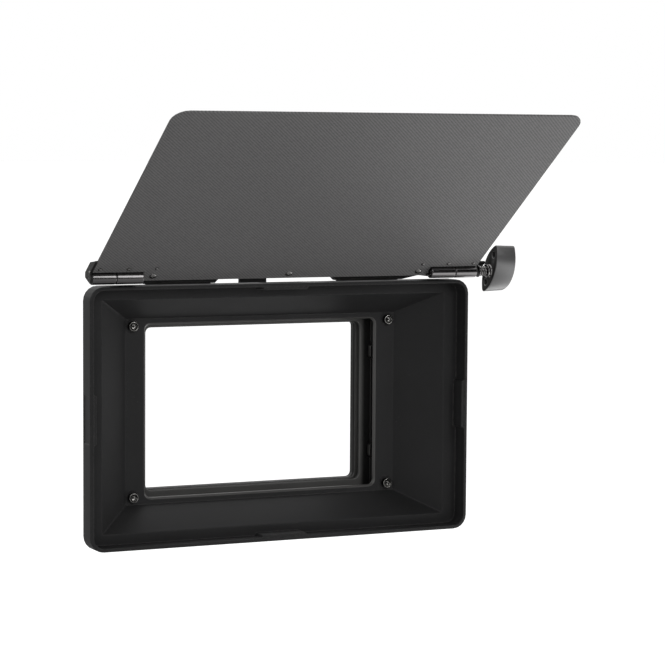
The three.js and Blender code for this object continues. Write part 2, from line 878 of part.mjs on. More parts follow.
const flag = new THREE.Group();
flag.position.set(0, hingeY, hingeZ);
flag.rotation.x = -flagPitch;
matteBox.add(flag);

// Outline seen from above: X across, and Y running back from the free end to the tail
function flagOutline() {
  const half = flagWide / 2;
  const corner = flagCorner;
  const tail = [[half, -notchAhead], [notchInner, -notchAhead], [notchInner, flagTail]];
  const mirrored = tail.map(([x, y]) => [-x, y]).reverse();
  return [
    ...cornerArc(-half + corner, -flagReach + corner, corner, 2),
    ...cornerArc(half - corner, -flagReach + corner, corner, 3),
    ...tail,
    ...mirrored,
  ];
}

function rivetPlaces() {
  return sides.flatMap((side) => [0, 1, 2].map((count) => ({
    side,
    count: count + 1,
    x: side * (flagWide / 2 - rivetInset - count * rivetPitch),
    y: -rivetAhead,
  })));
}

function domePlaces() {
  const out = flagWide / 2 - domeInset;
  return [['left', -out], ['middle', 0], ['right', out]].map(([name, x]) => ({
    name,
    x,
    y: domeBehind,
  }));
}

function flagHoles() {
  const places = [...rivetPlaces(), ...domePlaces()];
  const reach = barTop + cutOver;
  return places.map(({ x, y }) => turnedAt(rod(rivetRadius + screwPlay, 0, reach), 'z', [x, y, 0]));
}

function makeFlagSheet() {
  const sheet = slabZ(flagOutline(), flagStandoff, flagTopSide);
  addPart(flag, 'flag_sheet', cut(sheet, ...flagHoles()), finish.wovenSheet);
}

// The bar lies on top of the sheet. Over the flag's own knuckles it reaches back and hugs them, and its
// ears come down past the sheet's edges to the pin and the spindle.
function earOutline() {
  const eye = [];
  for (let step = 0; step <= cornerSteps; step += 1) {
    const angle = step / cornerSteps * Math.PI / 2;
    eye.push([-earLow * Math.sin(angle), -earLow * Math.cos(angle)]);
  }
  return [
    [earCrown, earTop], [earBack, knuckleRadius], ...eye, [-earLow, flagStandoff],
    [-earReach, flagStandoff], [-earReach, flagTopSide], [-earBrow, earTop],
  ];
}

function makeHingeBar() {
  const plan = [
    [-earInner, -barReach], [earInner, -barReach], [earInner, 0], [flagKnuckleStart, 0],
    [flagKnuckleStart, -notchAhead], [notchInner, -notchAhead], [notchInner, barTail],
    [-notchInner, barTail], [-notchInner, -notchAhead], [-flagKnuckleStart, -notchAhead],
    [-flagKnuckleStart, 0], [-earInner, 0],
  ];
  const plate = slabZ(plan, barUnder, barTop);
  const hug = rod(knuckleRadius + seatGap, flagKnuckleStart - cutOver, earInner);
  const hugs = sides.map((side) => turnedAboutHinge(hug, side));
  const ears = sides.map((side) => {
    const [x0, x1] = side > 0 ? [earInner, earOuter] : [-earOuter, -earInner];
    const plateEar = slabX(earOutline().reverse(), x0, x1);
    const stud = rod(studRadius, earInner, earOuter + studTall);
    return join(plateEar, turnedAboutHinge(stud, side, [0, -notchAhead, barUnder - flagThick / 2]));
  });
  const guard = block(earInner, earInner + guardReach, -guardFront, earCrown, earTop - guardThick, earTop);
  const bores = [
    turnedAboutHinge(rod(boreRadius, earInner - cutOver, earOuter + cutOver), 1),
    turnedAboutHinge(rod(pinTipRadius + hingeGap, earInner - cutOver, earOuter + cutOver), -1),
  ];
  const body = join(cut(plate, ...hugs), ...ears, guard);
  addPart(flag, 'hinge_bar', cut(body, ...bores, ...flagHoles()), finish.anodised);
}

// A profile turned about the hinge axis, or one beside it, in the flag's own frame
function turnedAboutHinge(profile, side, place = [0, 0, 0]) {
  const geometry = turned(profile, 'x', roundSides);
  if (side < 0) geometry.rotateZ(Math.PI);
  geometry.translate(...place);
  return solid(geometry);
}

function makeFlagKnuckles() {
  for (const side of sides) {
    const wall = tube(boreRadius, knuckleRadius, flagKnuckleStart, flagKnuckleEnd);
    addPart(flag, `knuckle_flag_${sideName[side]}`, turnedAboutHinge(wall, side), finish.darkChrome);
  }
}

function domeProfile(radius, tall, from) {
  const points = [];
  for (let step = 0; step <= edgeSteps; step += 1) {
    const angle = step / edgeSteps * Math.PI / 2;
    points.push([radius * Math.sin(angle), from - tall * Math.cos(angle)]);
  }
  return points;
}

function makeFlagFasteners() {
  const under = flagStandoff - seatGap;
  const over = barTop + seatGap;
  const rivet = [
    ...domeProfile(rivetHeadRadius, rivetHeadTall, under), [rivetRadius, under], [rivetRadius, over],
    [rivetHeadRadius, over], [rivetRadius, over + rivetHeadTall / 2], [0, over + rivetHeadTall / 2],
  ];
  for (const { side, count, x, y } of rivetPlaces()) {
    const body = turnedAt(rivet, 'z', [x, y, 0]);
    addPart(flag, `flag_rivet_${sideName[side]}_${count}`, body, finish.blackSteel);
  }
  const screw = [
    ...domeProfile(domeRadius, domeTall, under), [rivetRadius, under], [rivetRadius, barTop], [0, barTop],
  ];
  for (const { name, x, y } of domePlaces()) {
    const low = under - domeTall;
    const place = [x, y, 0];
    const socket = hexagon(domeSocketAcross, low - cutOver, low + domeSocketDeep, 'z', place);
    const body = cut(turnedAt(screw, 'z', place), socket);
    addPart(flag, `flag_screw_${name}`, body, finish.blackSteel);
  }
}

// Clamp: spindle, washer, coil spring, collar and wing knob, all on the hinge axis

const washerFrom = earOuter + hingeGap;
const coilFrom = washerFrom + washerThick + coilWire + seatGap;
const coilTo = coilFrom + coilTurns * coilPitch;
const collarFrom = coilTo + coilWire + seatGap;
const knobFrom = collarFrom + collarLong + seatGap;

class CoilPath extends THREE.Curve {
  getPoint(t, target = new THREE.Vector3()) {
    const angle = t * coilTurns * 2 * Math.PI;
    const along = coilFrom + t * (coilTo - coilFrom);
    return target.set(along, coilRadius * Math.cos(angle), coilRadius * Math.sin(angle));
  }
}

function coilGap(path) {
  const count = coilTurns * coilSteps;
  const points = path.getPoints(count);
  let least = Infinity;
  for (let i = 0; i <= count; i += 1) {
    for (let j = i + coilSteps / 2; j <= count; j += 1) {
      least = Math.min(least, points[i].distanceTo(points[j]) - 2 * coilWire);
    }
  }
  return least;
}

function makeCoil() {
  const path = new CoilPath();
  const section = [];
  for (let side = 0; side < coilSides; side += 1) {
    const angle = side / coilSides * 2 * Math.PI;
    section.push([coilWire * Math.cos(angle), coilWire * Math.sin(angle)]);
  }
  const steps = coilTurns * coilSteps;
  const options = { steps, bevelEnabled: false, extrudePath: path };
  const geometry = new THREE.ExtrudeGeometry(outline(section), options);
  geometry.translate(0, hingeY, hingeZ);
  console.log(`clamp spring, least gap between its coils: ${coilGap(path).toFixed(2)} mm`);
  addPart(matteBox, 'clamp_spring', solid(geometry), finish.springSteel);
}

function makeClampHardware() {
  const washer = tube(pinRadius + hingeGap / 2, washerRadius, washerFrom, washerFrom + washerThick);
  addPart(matteBox, 'clamp_washer', alongHinge(washer, 1), finish.darkChrome);
  const inner = pinRadius + seatGap;
  const collarTo = collarFrom + collarLong;
  const waist = collarRadius - collarGroove;
  const third = collarLong * groovedShare;
  const collar = [
    [inner, collarFrom], [collarRadius, collarFrom], [collarRadius, collarFrom + third],
    [waist, collarFrom + third], [waist, collarTo - third], [collarRadius, collarTo - third],
    [collarRadius, collarTo], [inner, collarTo], [inner, collarFrom],
  ];
  addPart(matteBox, 'clamp_collar', alongHinge(collar, 1), finish.darkChrome);
  const spindle = rod(pinRadius, fixedStart + seatGap, knobFrom + knobBoreDeep - seatGap);
  addPart(matteBox, 'clamp_spindle', alongHinge(spindle, 1), finish.blackSteel);
}

// The knob's outline is two shallow arcs that meet in rounded tips. Away from the hinge it
// widens and shortens.
function onKnob(across, along) {
  return [
    across * Math.cos(knobTilt) - along * Math.sin(knobTilt),
    across * Math.sin(knobTilt) + along * Math.cos(knobTilt) + knobRise,
  ];
}

function knobOutline(long, broad, inset) {
  const half = broad / 2 - inset;
  const tip = knobTipRadius - inset;
  const tipOut = long / 2 - knobTipRadius;
  const arcRadius = (half ** 2 + tipOut ** 2 - tip ** 2) / (2 * (half - tip));
  const sweep = Math.atan2(tipOut, arcRadius - half);
  const quarter = [];
  for (let step = 0; step < knobArcSteps; step += 1) {
    const angle = sweep * step / knobArcSteps;
    quarter.push([arcRadius * Math.cos(angle) - arcRadius + half, arcRadius * Math.sin(angle)]);
  }
  for (let step = 0; step < knobTipSteps; step += 1) {
    const angle = sweep + (Math.PI / 2 - sweep) * step / knobTipSteps;
    quarter.push([tip * Math.cos(angle), tipOut + tip * Math.sin(angle)]);
  }
  const top = [0, tipOut + tip];
  const upper = [...quarter, top, ...quarter.slice(1).reverse().map(([x, y]) => [-x, y])];
  const lower = upper.map(([x, y]) => [-x, -y]);
  return [...upper, ...lower].map(([x, y]) => onKnob(x, y));
}

function makeKnob() {
  const rings = [];
  const knobTo = knobFrom + knobThick;
  const addRing = (x, long, broad, inset) => {
    rings.push(knobOutline(long, broad, inset).map(([y, z]) => [x, hingeY + y, hingeZ + z]));
  };
  for (let step = 0; step <= edgeSteps; step += 1) {
    const angle = step / edgeSteps * Math.PI / 2;
    const inset = knobEdge * (1 - Math.sin(angle));
    addRing(knobTo - knobEdge * (1 - Math.cos(angle)), knobFarLong, knobFarBroad, inset);
  }
  for (let step = edgeSteps; step >= 0; step -= 1) {
    const angle = step / edgeSteps * Math.PI / 2;
    const inset = knobEdge * (1 - Math.sin(angle));
    addRing(knobFrom + knobEdge * (1 - Math.cos(angle)), knobNearLong, knobNearBroad, inset);
  }
  const bore = rod(pinRadius + seatGap, knobFrom - cutOver, knobFrom + knobBoreDeep);
  const dimples = sides.map((side) => {
    const [y, z] = onKnob(0, side * dimpleOut);
    const hollow = rod(dimpleRadius, knobFrom - cutOver, knobFrom + dimpleDeep);
    return turnedAt(hollow, 'x', [0, hingeY + y, hingeZ + z]);
  });
  const body = cut(cappedLoft(rings), alongHinge(bore, 1), ...dimples);
  addPart(matteBox, 'clamp_knob', body, finish.knobPlastic);
}

makeHood();
makeStages();
makeRearPlate();
makeCapScrews();
makeLeafSprings();
makeTray();
makeBrackets();
makeFixedKnuckles();
makeHingePin();
makeFlagSheet();
makeHingeBar();
makeFlagKnuckles();
makeFlagFasteners();
makeClampHardware();
makeCoil();
makeKnob();

export default matteBox;
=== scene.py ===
# A matte box: moulded hood, two filter stages with one tray, and a top flag on a clamped hinge
import json
import math

import bmesh
import bpy
from mathutils import Matrix, Vector


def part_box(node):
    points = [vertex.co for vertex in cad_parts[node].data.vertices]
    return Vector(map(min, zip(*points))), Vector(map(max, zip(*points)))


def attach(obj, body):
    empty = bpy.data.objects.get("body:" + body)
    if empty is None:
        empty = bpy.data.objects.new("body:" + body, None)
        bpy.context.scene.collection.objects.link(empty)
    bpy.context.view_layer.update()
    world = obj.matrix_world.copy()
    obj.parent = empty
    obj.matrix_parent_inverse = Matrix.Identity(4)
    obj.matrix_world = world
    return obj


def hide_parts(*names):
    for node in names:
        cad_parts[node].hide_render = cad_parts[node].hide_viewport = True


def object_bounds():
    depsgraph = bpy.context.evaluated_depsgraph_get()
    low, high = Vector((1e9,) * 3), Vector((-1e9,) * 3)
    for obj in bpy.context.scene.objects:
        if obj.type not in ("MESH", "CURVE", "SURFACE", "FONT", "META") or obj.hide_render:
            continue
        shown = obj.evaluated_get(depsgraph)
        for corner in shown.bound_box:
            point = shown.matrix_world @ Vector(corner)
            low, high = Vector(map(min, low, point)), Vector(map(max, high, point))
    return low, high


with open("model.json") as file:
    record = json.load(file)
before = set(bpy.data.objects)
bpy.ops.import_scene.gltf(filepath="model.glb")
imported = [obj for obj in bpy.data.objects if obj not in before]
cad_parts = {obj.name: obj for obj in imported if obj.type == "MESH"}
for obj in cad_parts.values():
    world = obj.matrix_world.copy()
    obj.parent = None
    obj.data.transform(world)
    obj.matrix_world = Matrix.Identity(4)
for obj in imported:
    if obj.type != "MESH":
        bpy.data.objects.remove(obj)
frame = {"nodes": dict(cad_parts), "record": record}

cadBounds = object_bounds()
mm = 0.001
slotOf = {part["node"]: part["material_slot"] for part in frame["record"]["subparts"]}
bodyOf = {node: body for body, members in frame["record"]["behaviour"]["bodies"].items() for node in members}
flagTilt = 35.6  # degrees, the flag's slope at rest
print("frame loaded:", len(frame["nodes"]), "nodes")


studio = {  # metres
    "cameraPlace": (-0.56147, -1.29859, 0.15005),
    "cameraTurn": 25.378,  # degrees to the right of straight back
    "cameraDip": 4.428,  # degrees down
    "cameraRoll": 0.36,
    "lens": 134.19,  # mm
    "sensor": 36.0,  # mm
    "floorDrop": 0.19,  # below the lowest point of the hood
    "floorReach": 40.0,
    "floorTone": 0.8,
    "floorRough": 0.9,
    "floorGlow": 0.74,  # only the camera sees it
    "worldFill": 0.42,
}

softboxes = [  # name, place, aimed at, width, height, watts
    ("keyBox", (-0.9, -1.9, 0.75), (0, -0.05, 0.0), 1.0, 1.0, 8),
    ("stripBox", (-0.2, -1.9, 0.82), (0, -0.05, 0.05), 1.2, 0.7, 2.5),
    ("glintBox", (0.345, -1.0, 0.45), (-0.1, -0.06, 0.0765), 0.2, 0.62, 1.9),  # the bright line on the left barrels
    ("topBox", (0.1, 0.5, 1.8), (0, -0.05, 0.05), 1.4, 1.2, 10),
    ("tableBox", (1.1, -0.3, -0.255), (1.1, -0.3, 1), 1.6, 1.15, 9.8),  # lies on the floor
]


def makeCamera():
    data = bpy.data.cameras.new("camera")
    data.lens = studio["lens"]
    data.sensor_width = studio["sensor"]
    data.clip_start = 0.02
    data.clip_end = 100
    camera = bpy.data.objects.new("camera", data)
    bpy.context.scene.collection.objects.link(camera)
    turn = Matrix.Rotation(math.radians(-studio["cameraTurn"]), 4, "Z")
    dip = Matrix.Rotation(math.radians(90 - studio["cameraDip"]), 4, "X")
    roll = Matrix.Rotation(math.radians(studio["cameraRoll"]), 4, "Z")
    camera.matrix_world = Matrix.Translation(Vector(studio["cameraPlace"])) @ turn @ dip @ roll
    bpy.context.scene.camera = camera


def makeSoftboxes():
    for name, place, aim, width, height, watts in softboxes:
        data = bpy.data.lights.new(name, "AREA")
        data.shape = "RECTANGLE"
        data.size = width
        data.size_y = height
        data.energy = watts
        lamp = bpy.data.objects.new(name, data)
        bpy.context.scene.collection.objects.link(lamp)
        lamp.location = place
        lamp.rotation_euler = (Vector(aim) - Vector(place)).to_track_quat("-Z", "Y").to_euler()
        lamp.visible_camera = False


def makeWorld():
    world = bpy.data.worlds.new("studio")
    world.use_nodes = True
    bpy.context.scene.world = world
    nodes, links = world.node_tree.nodes, world.node_tree.links
    nodes.clear()
    paths = nodes.new("ShaderNodeLightPath")
    seen = nodes.new("ShaderNodeMath")
    seen.operation = "MAXIMUM"
    links.new(paths.outputs["Is Camera Ray"], seen.inputs[0])
    links.new(paths.outputs["Is Glossy Ray"], seen.inputs[1])
    through = nodes.new("ShaderNodeMath")
    through.operation = "MAXIMUM"
    links.new(seen.outputs[0], through.inputs[0])
    links.new(paths.outputs["Is Transmission Ray"], through.inputs[1])
    fill = nodes.new("ShaderNodeBackground")
    fill.inputs["Strength"].default_value = studio["worldFill"]
    white = nodes.new("ShaderNodeBackground")
    white.inputs["Strength"].default_value = 1.0
    for shade in (fill, white):
        shade.inputs["Color"].default_value = (1, 1, 1, 1)
    mix = nodes.new("ShaderNodeMixShader")
    links.new(through.outputs[0], mix.inputs["Fac"])
    links.new(fill.outputs[0], mix.inputs[1])
    links.new(white.outputs[0], mix.inputs[2])
    out = nodes.new("ShaderNodeOutputWorld")
    links.new(mix.outputs[0], out.inputs["Surface"])


def makeSheet(name, corners, material):
    mesh = bpy.data.meshes.new(name)
    mesh.from_pydata(corners, [], [(0, 1, 2, 3)])
    mesh.materials.append(material)
    sheet = bpy.data.objects.new(name, mesh)
    bpy.context.scene.collection.objects.link(sheet)
    return sheet


def makeFloor():
    material = bpy.data.materials.new("paleFloor")
    material.use_nodes = True
    nodes, links = material.node_tree.nodes, material.node_tree.links
    base = nodes["Principled BSDF"]
    tone = studio["floorTone"]
    base.inputs["Base Color"].default_value = (tone, tone, tone, 1)
    base.inputs["Roughness"].default_value = studio["floorRough"]
    base.inputs["Specular IOR Level"].default_value = 0.1
    paths = nodes.new("ShaderNodeLightPath")
    glow = nodes.new("ShaderNodeMath")
    glow.operation = "MULTIPLY"
    glow.inputs[1].default_value = studio["floorGlow"]
    links.new(paths.outputs["Is Camera Ray"], glow.inputs[0])
    base.inputs["Emission Color"].default_value = (1, 1, 1, 1)
    links.new(glow.outputs[0], base.inputs["Emission Strength"])
    reach = studio["floorReach"]
    low = cadBounds[0][2] - studio["floorDrop"]
    corners = [(-reach, -reach, low), (reach, -reach, low), (reach, reach, low), (-reach, reach, low)]
    makeSheet("floor", corners, material)


darkCard = {  # what the polished metal mirrors between the lamps
    "place": (0.6, -2.6, 0.85),
    "wide": 6.0,
    "tall": 2.1,
    "tone": 0.03,
}


def makeDarkCard():
    material = bpy.data.materials.new("darkCard")
    material.use_nodes = True
    base = material.node_tree.nodes["Principled BSDF"]
    base.inputs["Base Color"].default_value = (darkCard["tone"],) * 3 + (1,)
    base.inputs["Roughness"].default_value = 0.95
    x, y, z = darkCard["place"]
    wide, tall = darkCard["wide"] / 2, darkCard["tall"] / 2
    corners = [(x - wide, y, z - tall), (x + wide, y, z - tall), (x + wide, y, z + tall), (x - wide, y, z + tall)]
    card = makeSheet("darkCard", corners, material)
    card.visible_camera = False


view = bpy.context.scene.view_settings
view.view_transform = "Standard"
makeCamera()
makeSoftboxes()
makeWorld()
makeFloor()
makeDarkCard()
print("studio ready")


def newGroup(name, ins, outs):
    group = bpy.data.node_groups.new(name, "ShaderNodeTree")
    for label, kind, value in ins:
        socket = group.interface.new_socket(label, in_out="INPUT", socket_type=kind)
        if value is not None:
            socket.default_value = value
    for label, kind in outs:
        group.interface.new_socket(label, in_out="OUTPUT", socket_type=kind)
    start = group.nodes.new("NodeGroupInput")
    end = group.nodes.new("NodeGroupOutput")
    return group, start.outputs, end.inputs


def maths(tree, operation, *values):
    node = tree.nodes.new("ShaderNodeMath")
    node.operation = operation
    for slot, value in enumerate(values):
        if isinstance(value, (int, float)):
            node.inputs[slot].default_value = value
        else:
            tree.links.new(value, node.inputs[slot])
    return node.outputs[0]


def ranged(tree, value, low, high, toLow=0.0, toHigh=1.0):
    node = tree.nodes.new("ShaderNodeMapRange")
    tree.links.new(value, node.inputs["Value"])
    for label, amount in (("From Min", low), ("From Max", high), ("To Min", toLow), ("To Max", toHigh)):
        node.inputs[label].default_value = amount
    return node.outputs["Result"]


def noise(tree, vector, scale, detail=2.0, rough=0.5):
    node = tree.nodes.new("ShaderNodeTexNoise")
    tree.links.new(vector, node.inputs["Vector"])
    if isinstance(scale, (int, float)):
        node.inputs["Scale"].default_value = scale
    else:
        tree.links.new(scale, node.inputs["Scale"])
    node.inputs["Detail"].default_value = detail
    node.inputs["Roughness"].default_value = rough
    return node.outputs["Fac"]


def mixed(tree, factor, first, second):
    node = tree.nodes.new("ShaderNodeMix")
    node.data_type = "RGBA"
    for slot, value in ((0, factor), (6, first), (7, second)):
        if isinstance(value, (int, float)):
            node.inputs[slot].default_value = value
        elif isinstance(value, tuple):
            node.inputs[slot].default_value = (*value, 1)
        else:
            tree.links.new(value, node.inputs[slot])
    return node.outputs[2]


# edges turn lighter where they are worn, and on some finishes as a painted highlight along the edge
def edgeWearAndHighlightGroup():
    number, vector = "NodeSocketFloat", "NodeSocketVector"
    group, given, result = newGroup(
        "edgeWearAndHighlight",
        [("Place", vector, None), ("Width", number, 0.0004), ("Breakup", number, 900.0)],
        [("Mask", number), ("Normal", vector)],
    )
    bevel = group.nodes.new("ShaderNodeBevel")
    bevel.samples = 6
    group.links.new(given["Width"], bevel.inputs["Radius"])
    plain = group.nodes.new("ShaderNodeNewGeometry")
    alike = group.nodes.new("ShaderNodeVectorMath")
    alike.operation = "DOT_PRODUCT"
    group.links.new(bevel.outputs["Normal"], alike.inputs[0])
    group.links.new(plain.outputs["True Normal"], alike.inputs[1])
    edge = ranged(group, alike.outputs["Value"], 0.99, 0.85)
    patchy = ranged(group, noise(group, given["Place"], given["Breakup"], 3.0), 0.35, 0.65)
    group.links.new(maths(group, "MULTIPLY", edge, patchy), result["Mask"])
    group.links.new(bevel.outputs["Normal"], result["Normal"])
    return group


def grainGroup():
    number, vector = "NodeSocketFloat", "NodeSocketVector"
    group, given, result = newGroup(
        "mouldedGrain",
        [("Place", vector, None), ("Grain Scale", number, 2600.0), ("Cloud Scale", number, 22.0)],
        [("Height", number), ("Cloud", number)],
    )
    fine = noise(group, given["Place"], given["Grain Scale"], 3.0, 0.6)
    cloud = noise(group, given["Place"], given["Cloud Scale"], 4.0, 0.55)
    group.links.new(fine, result["Height"])
    group.links.new(ranged(group, cloud, 0.3, 0.7), result["Cloud"])
    return group


def dustGroup():
    number, vector = "NodeSocketFloat", "NodeSocketVector"
    group, given, result = newGroup(
        "lintAndDust",
        [("Place", vector, None), ("Scale", number, 420.0), ("Amount", number, 0.3)],
        [("Mask", number)],
    )
    specks = group.nodes.new("ShaderNodeTexVoronoi")
    group.links.new(given["Place"], specks.inputs["Vector"])
    group.links.new(given["Scale"], specks.inputs["Scale"])
    near = ranged(group, specks.outputs["Distance"], 0.12, 0.04)
    few = ranged(group, noise(group, given["Place"], 55.0, 2.0), 0.5, 0.75)
    mask = maths(group, "MULTIPLY", maths(group, "MULTIPLY", near, few), given["Amount"])
    group.links.new(mask, result["Mask"])
    return group


def twillGroup():
    number, vector = "NodeSocketFloat", "NodeSocketVector"
    group, given, result = newGroup(
        "twillWeave",
        [("Place", vector, None), ("Ends", number, 1600.0), ("Picks", number, 1200.0)],
        [("Warp", number), ("Height", number), ("Line", number)],
    )
    split = group.nodes.new("ShaderNodeSeparateXYZ")
    group.links.new(given["Place"], split.inputs[0])
    along = maths(group, "MULTIPLY", split.outputs["X"], given["Ends"])
    across = maths(group, "MULTIPLY", split.outputs["Y"], given["Picks"])
    column = maths(group, "FLOOR", along)
    row = maths(group, "FLOOR", across)
    step = maths(group, "FLOORED_MODULO", maths(group, "SUBTRACT", column, row), 4.0)
    over = maths(group, "LESS_THAN", step, 2.0)
    roundU = maths(group, "SINE", maths(group, "MULTIPLY", maths(group, "FRACT", along), math.pi))
    roundV = maths(group, "SINE", maths(group, "MULTIPLY", maths(group, "FRACT", across), math.pi))
    warp = maths(group, "MULTIPLY", over, roundU)
    weft = maths(group, "MULTIPLY", maths(group, "SUBTRACT", 1.0, over), roundV)
    height = maths(group, "ADD", warp, weft)
    diagonal = maths(group, "SUBTRACT", along, across)
    stripe = maths(group, "SINE", maths(group, "MULTIPLY", diagonal, math.pi / 2))
    uneven = ranged(group, noise(group, given["Place"], 900.0, 2.0), 0.3, 0.7, -1.0, 1.0)
    line = maths(group, "ADD", maths(group, "MULTIPLY", stripe, 0.65), maths(group, "MULTIPLY", uneven, 0.35))
    group.links.new(over, result["Warp"])
    group.links.new(height, result["Height"])
    group.links.new(ranged(group, line, -1.0, 1.0), result["Line"])
    return group


# painted shade: a mask that darkens a face towards its sides, standing in for the slot's shadow on it
def slotShadeGroup():
    number, vector = "NodeSocketFloat", "NodeSocketVector"
    group, given, result = newGroup(
        "paintedSlotShade",
        [("Place", vector, None), ("Inner", number, 0.069), ("Outer", number, 0.071)],
        [("Mask", number)],
    )
    split = group.nodes.new("ShaderNodeSeparateXYZ")
    group.links.new(given["Place"], split.inputs[0])
    out = maths(group, "SUBTRACT", maths(group, "ABSOLUTE", split.outputs["X"]), given["Inner"])
    share = maths(group, "DIVIDE", out, maths(group, "SUBTRACT", given["Outer"], given["Inner"]))
    group.links.new(ranged(group, share, 0.0, 1.0), result["Mask"])
    return group


effects = {  # the node groups that the finishes share
    # sides: the mask of the painted slot shade
    "sides": slotShadeGroup(),
    "wearAndHighlight": edgeWearAndHighlightGroup(),
    "grain": grainGroup(),
    "dust": dustGroup(),
    "twill": twillGroup(),
}

surface = {  # what all finishes share
    "clouding": 0.12,  # how far colour and roughness drift across one
    "dust": 0.35,
    "dustColor": (0.12, 0.118, 0.112),
    "grainDeep": 0.0002,  # metres
}

finishes = {  # grain per metre; edge is the width of the worn and lit edge in metres, and the wear entry its strength, which on some finishes also sets a painted highlight
    # the hood's wide lighter edge is partly wear and partly a painted highlight along its rims
    "hoodPlastic": {"color": (0.0225, 0.0223, 0.0228), "wornAndLitEdge": (0.09, 0.088, 0.085), "rough": 0.5, "metal": 0.0,
                    "shine": 0.13, "grain": 2400.0, "bump": 0.12, "edge": 0.0009, "wearAndHighlight": 0.8},
    "blackAnodised": {"color": (0.008, 0.0077, 0.0074), "wornAndLitEdge": (0.07, 0.068, 0.065), "rough": 0.36, "metal": 0.0,
                      "shine": 0.5, "grain": 3200.0, "bump": 0.08, "edge": 0.0003, "wearAndHighlight": 0.35},
    "blackSteel": {"color": (0.05, 0.048, 0.046), "wornAndLitEdge": (0.3, 0.29, 0.28), "rough": 0.25, "metal": 1.0,
                   "shine": 0.5, "grain": 1800.0, "bump": 0.04, "edge": 0.0002, "wearAndHighlight": 0.4},
    # the tray's front face is painted lighter than its walls, standing in for the light that falls on it
    "trayLitFront": {"color": (0.075, 0.074, 0.071), "wornAndLitEdge": (0.12, 0.118, 0.114), "rough": 0.42, "metal": 0.0,
                    "shine": 0.5, "grain": 3600.0, "bump": 0.1, "edge": 0.0003, "wearAndHighlight": 0.4,
                    "shade": (0.0672, 0.0695), "deep": (0.004, 0.0039, 0.0037)},  # painted shade: darker towards the sides, where the slot shades the face
    "hingeBlack": {"color": (0.009, 0.0086, 0.0082), "wornAndLitEdge": (0.09, 0.088, 0.085), "rough": 0.45, "metal": 0.0,
                   "shine": 0.22, "grain": 3200.0, "bump": 0.08, "edge": 0.0003, "wearAndHighlight": 0.4},
    # the screws' lighter edge is partly wear and partly a painted highlight
    "capSteel": {"color": (0.02, 0.0193, 0.0187), "wornAndLitEdge": (0.3, 0.29, 0.28), "rough": 0.22, "metal": 1.0,
                 "shine": 0.5, "grain": 1800.0, "bump": 0.04, "edge": 0.0002, "wearAndHighlight": 0.6},
    # brighter steel on the screws' chamfers and the ear's stud: partly bare metal, partly a painted highlight that
    # makes bright rings and dots
    "bareEdgeAndGlint": {"color": (0.25, 0.245, 0.235), "wornAndLitEdge": (0.7, 0.69, 0.68), "rough": 0.25, "metal": 1.0,
                "shine": 0.5, "grain": 1800.0, "bump": 0.03, "edge": 0.0001, "wearAndHighlight": 0.6},
    # the walls of the hood's window are painted lighter, a painted highlight along the opening
    "windowWallHighlight": {"color": (0.06, 0.0585, 0.0565), "wornAndLitEdge": (0.1, 0.098, 0.095), "rough": 0.35, "metal": 0.0,
                   "shine": 0.6, "grain": 2400.0, "bump": 0.06, "edge": 0.0003, "wearAndHighlight": 0.5},
    "rivetSteel": {"color": (0.16, 0.157, 0.154), "wornAndLitEdge": (0.5, 0.49, 0.48), "rough": 0.2, "metal": 1.0,
                   "shine": 0.5, "grain": 1800.0, "bump": 0.03, "edge": 0.0001, "wearAndHighlight": 0.3},
    "coilSteel": {"color": (0.22, 0.214, 0.21), "wornAndLitEdge": (0.6, 0.59, 0.58), "rough": 0.2, "metal": 1.0,
                  "shine": 0.5, "grain": 1500.0, "bump": 0.03, "edge": 0.0001, "wearAndHighlight": 0.3},
    "springSteel": {"color": (0.06, 0.059, 0.056), "wornAndLitEdge": (0.4, 0.39, 0.38), "rough": 0.28, "metal": 1.0,
                    "shine": 0.5, "grain": 1500.0, "bump": 0.04, "edge": 0.0001, "wearAndHighlight": 0.3},
    "darkChrome": {"color": (0.125, 0.121, 0.122), "wornAndLitEdge": (0.5, 0.49, 0.49), "rough": 0.13, "metal": 1.0,
                   "shine": 0.5, "grain": 900.0, "bump": 0.012, "edge": 0.0002, "wearAndHighlight": 0.3},
    "knobSatin": {"color": (0.024, 0.0232, 0.0237), "wornAndLitEdge": (0.09, 0.088, 0.088), "rough": 0.34, "metal": 0.0,
                  "shine": 1.0, "coat": 0.6, "grain": 2000.0, "bump": 0.1, "edge": 0.0004, "wearAndHighlight": 0.3},
    # the knob's near face is painted a little darker and duller, standing in for the shade on that side
    "knobNearFaceShade": {"color": (0.02, 0.0193, 0.019), "wornAndLitEdge": (0.07, 0.068, 0.068), "rough": 0.6, "metal": 0.0,
                 "shine": 0.12, "grain": 2600.0, "bump": 0.1, "edge": 0.0004, "wearAndHighlight": 0.3},
    "tabPlastic": {"color": (0.02, 0.02, 0.021), "wornAndLitEdge": (0.08, 0.08, 0.08), "rough": 0.4, "metal": 0.0,
                   "shine": 0.4, "grain": 2600.0, "bump": 0.08, "edge": 0.0003, "wearAndHighlight": 0.3},
}


def placed(tree):
    coords = tree.nodes.new("ShaderNodeTexCoord")
    return coords.outputs["Object"]


def used(tree, effect, **values):
    node = tree.nodes.new("ShaderNodeGroup")
    node.node_tree = effects[effect]
    for label, value in values.items():
        socket = node.inputs[label]
        if isinstance(value, (int, float)):
            socket.default_value = value
        else:
            tree.links.new(value, socket)
    return node.outputs


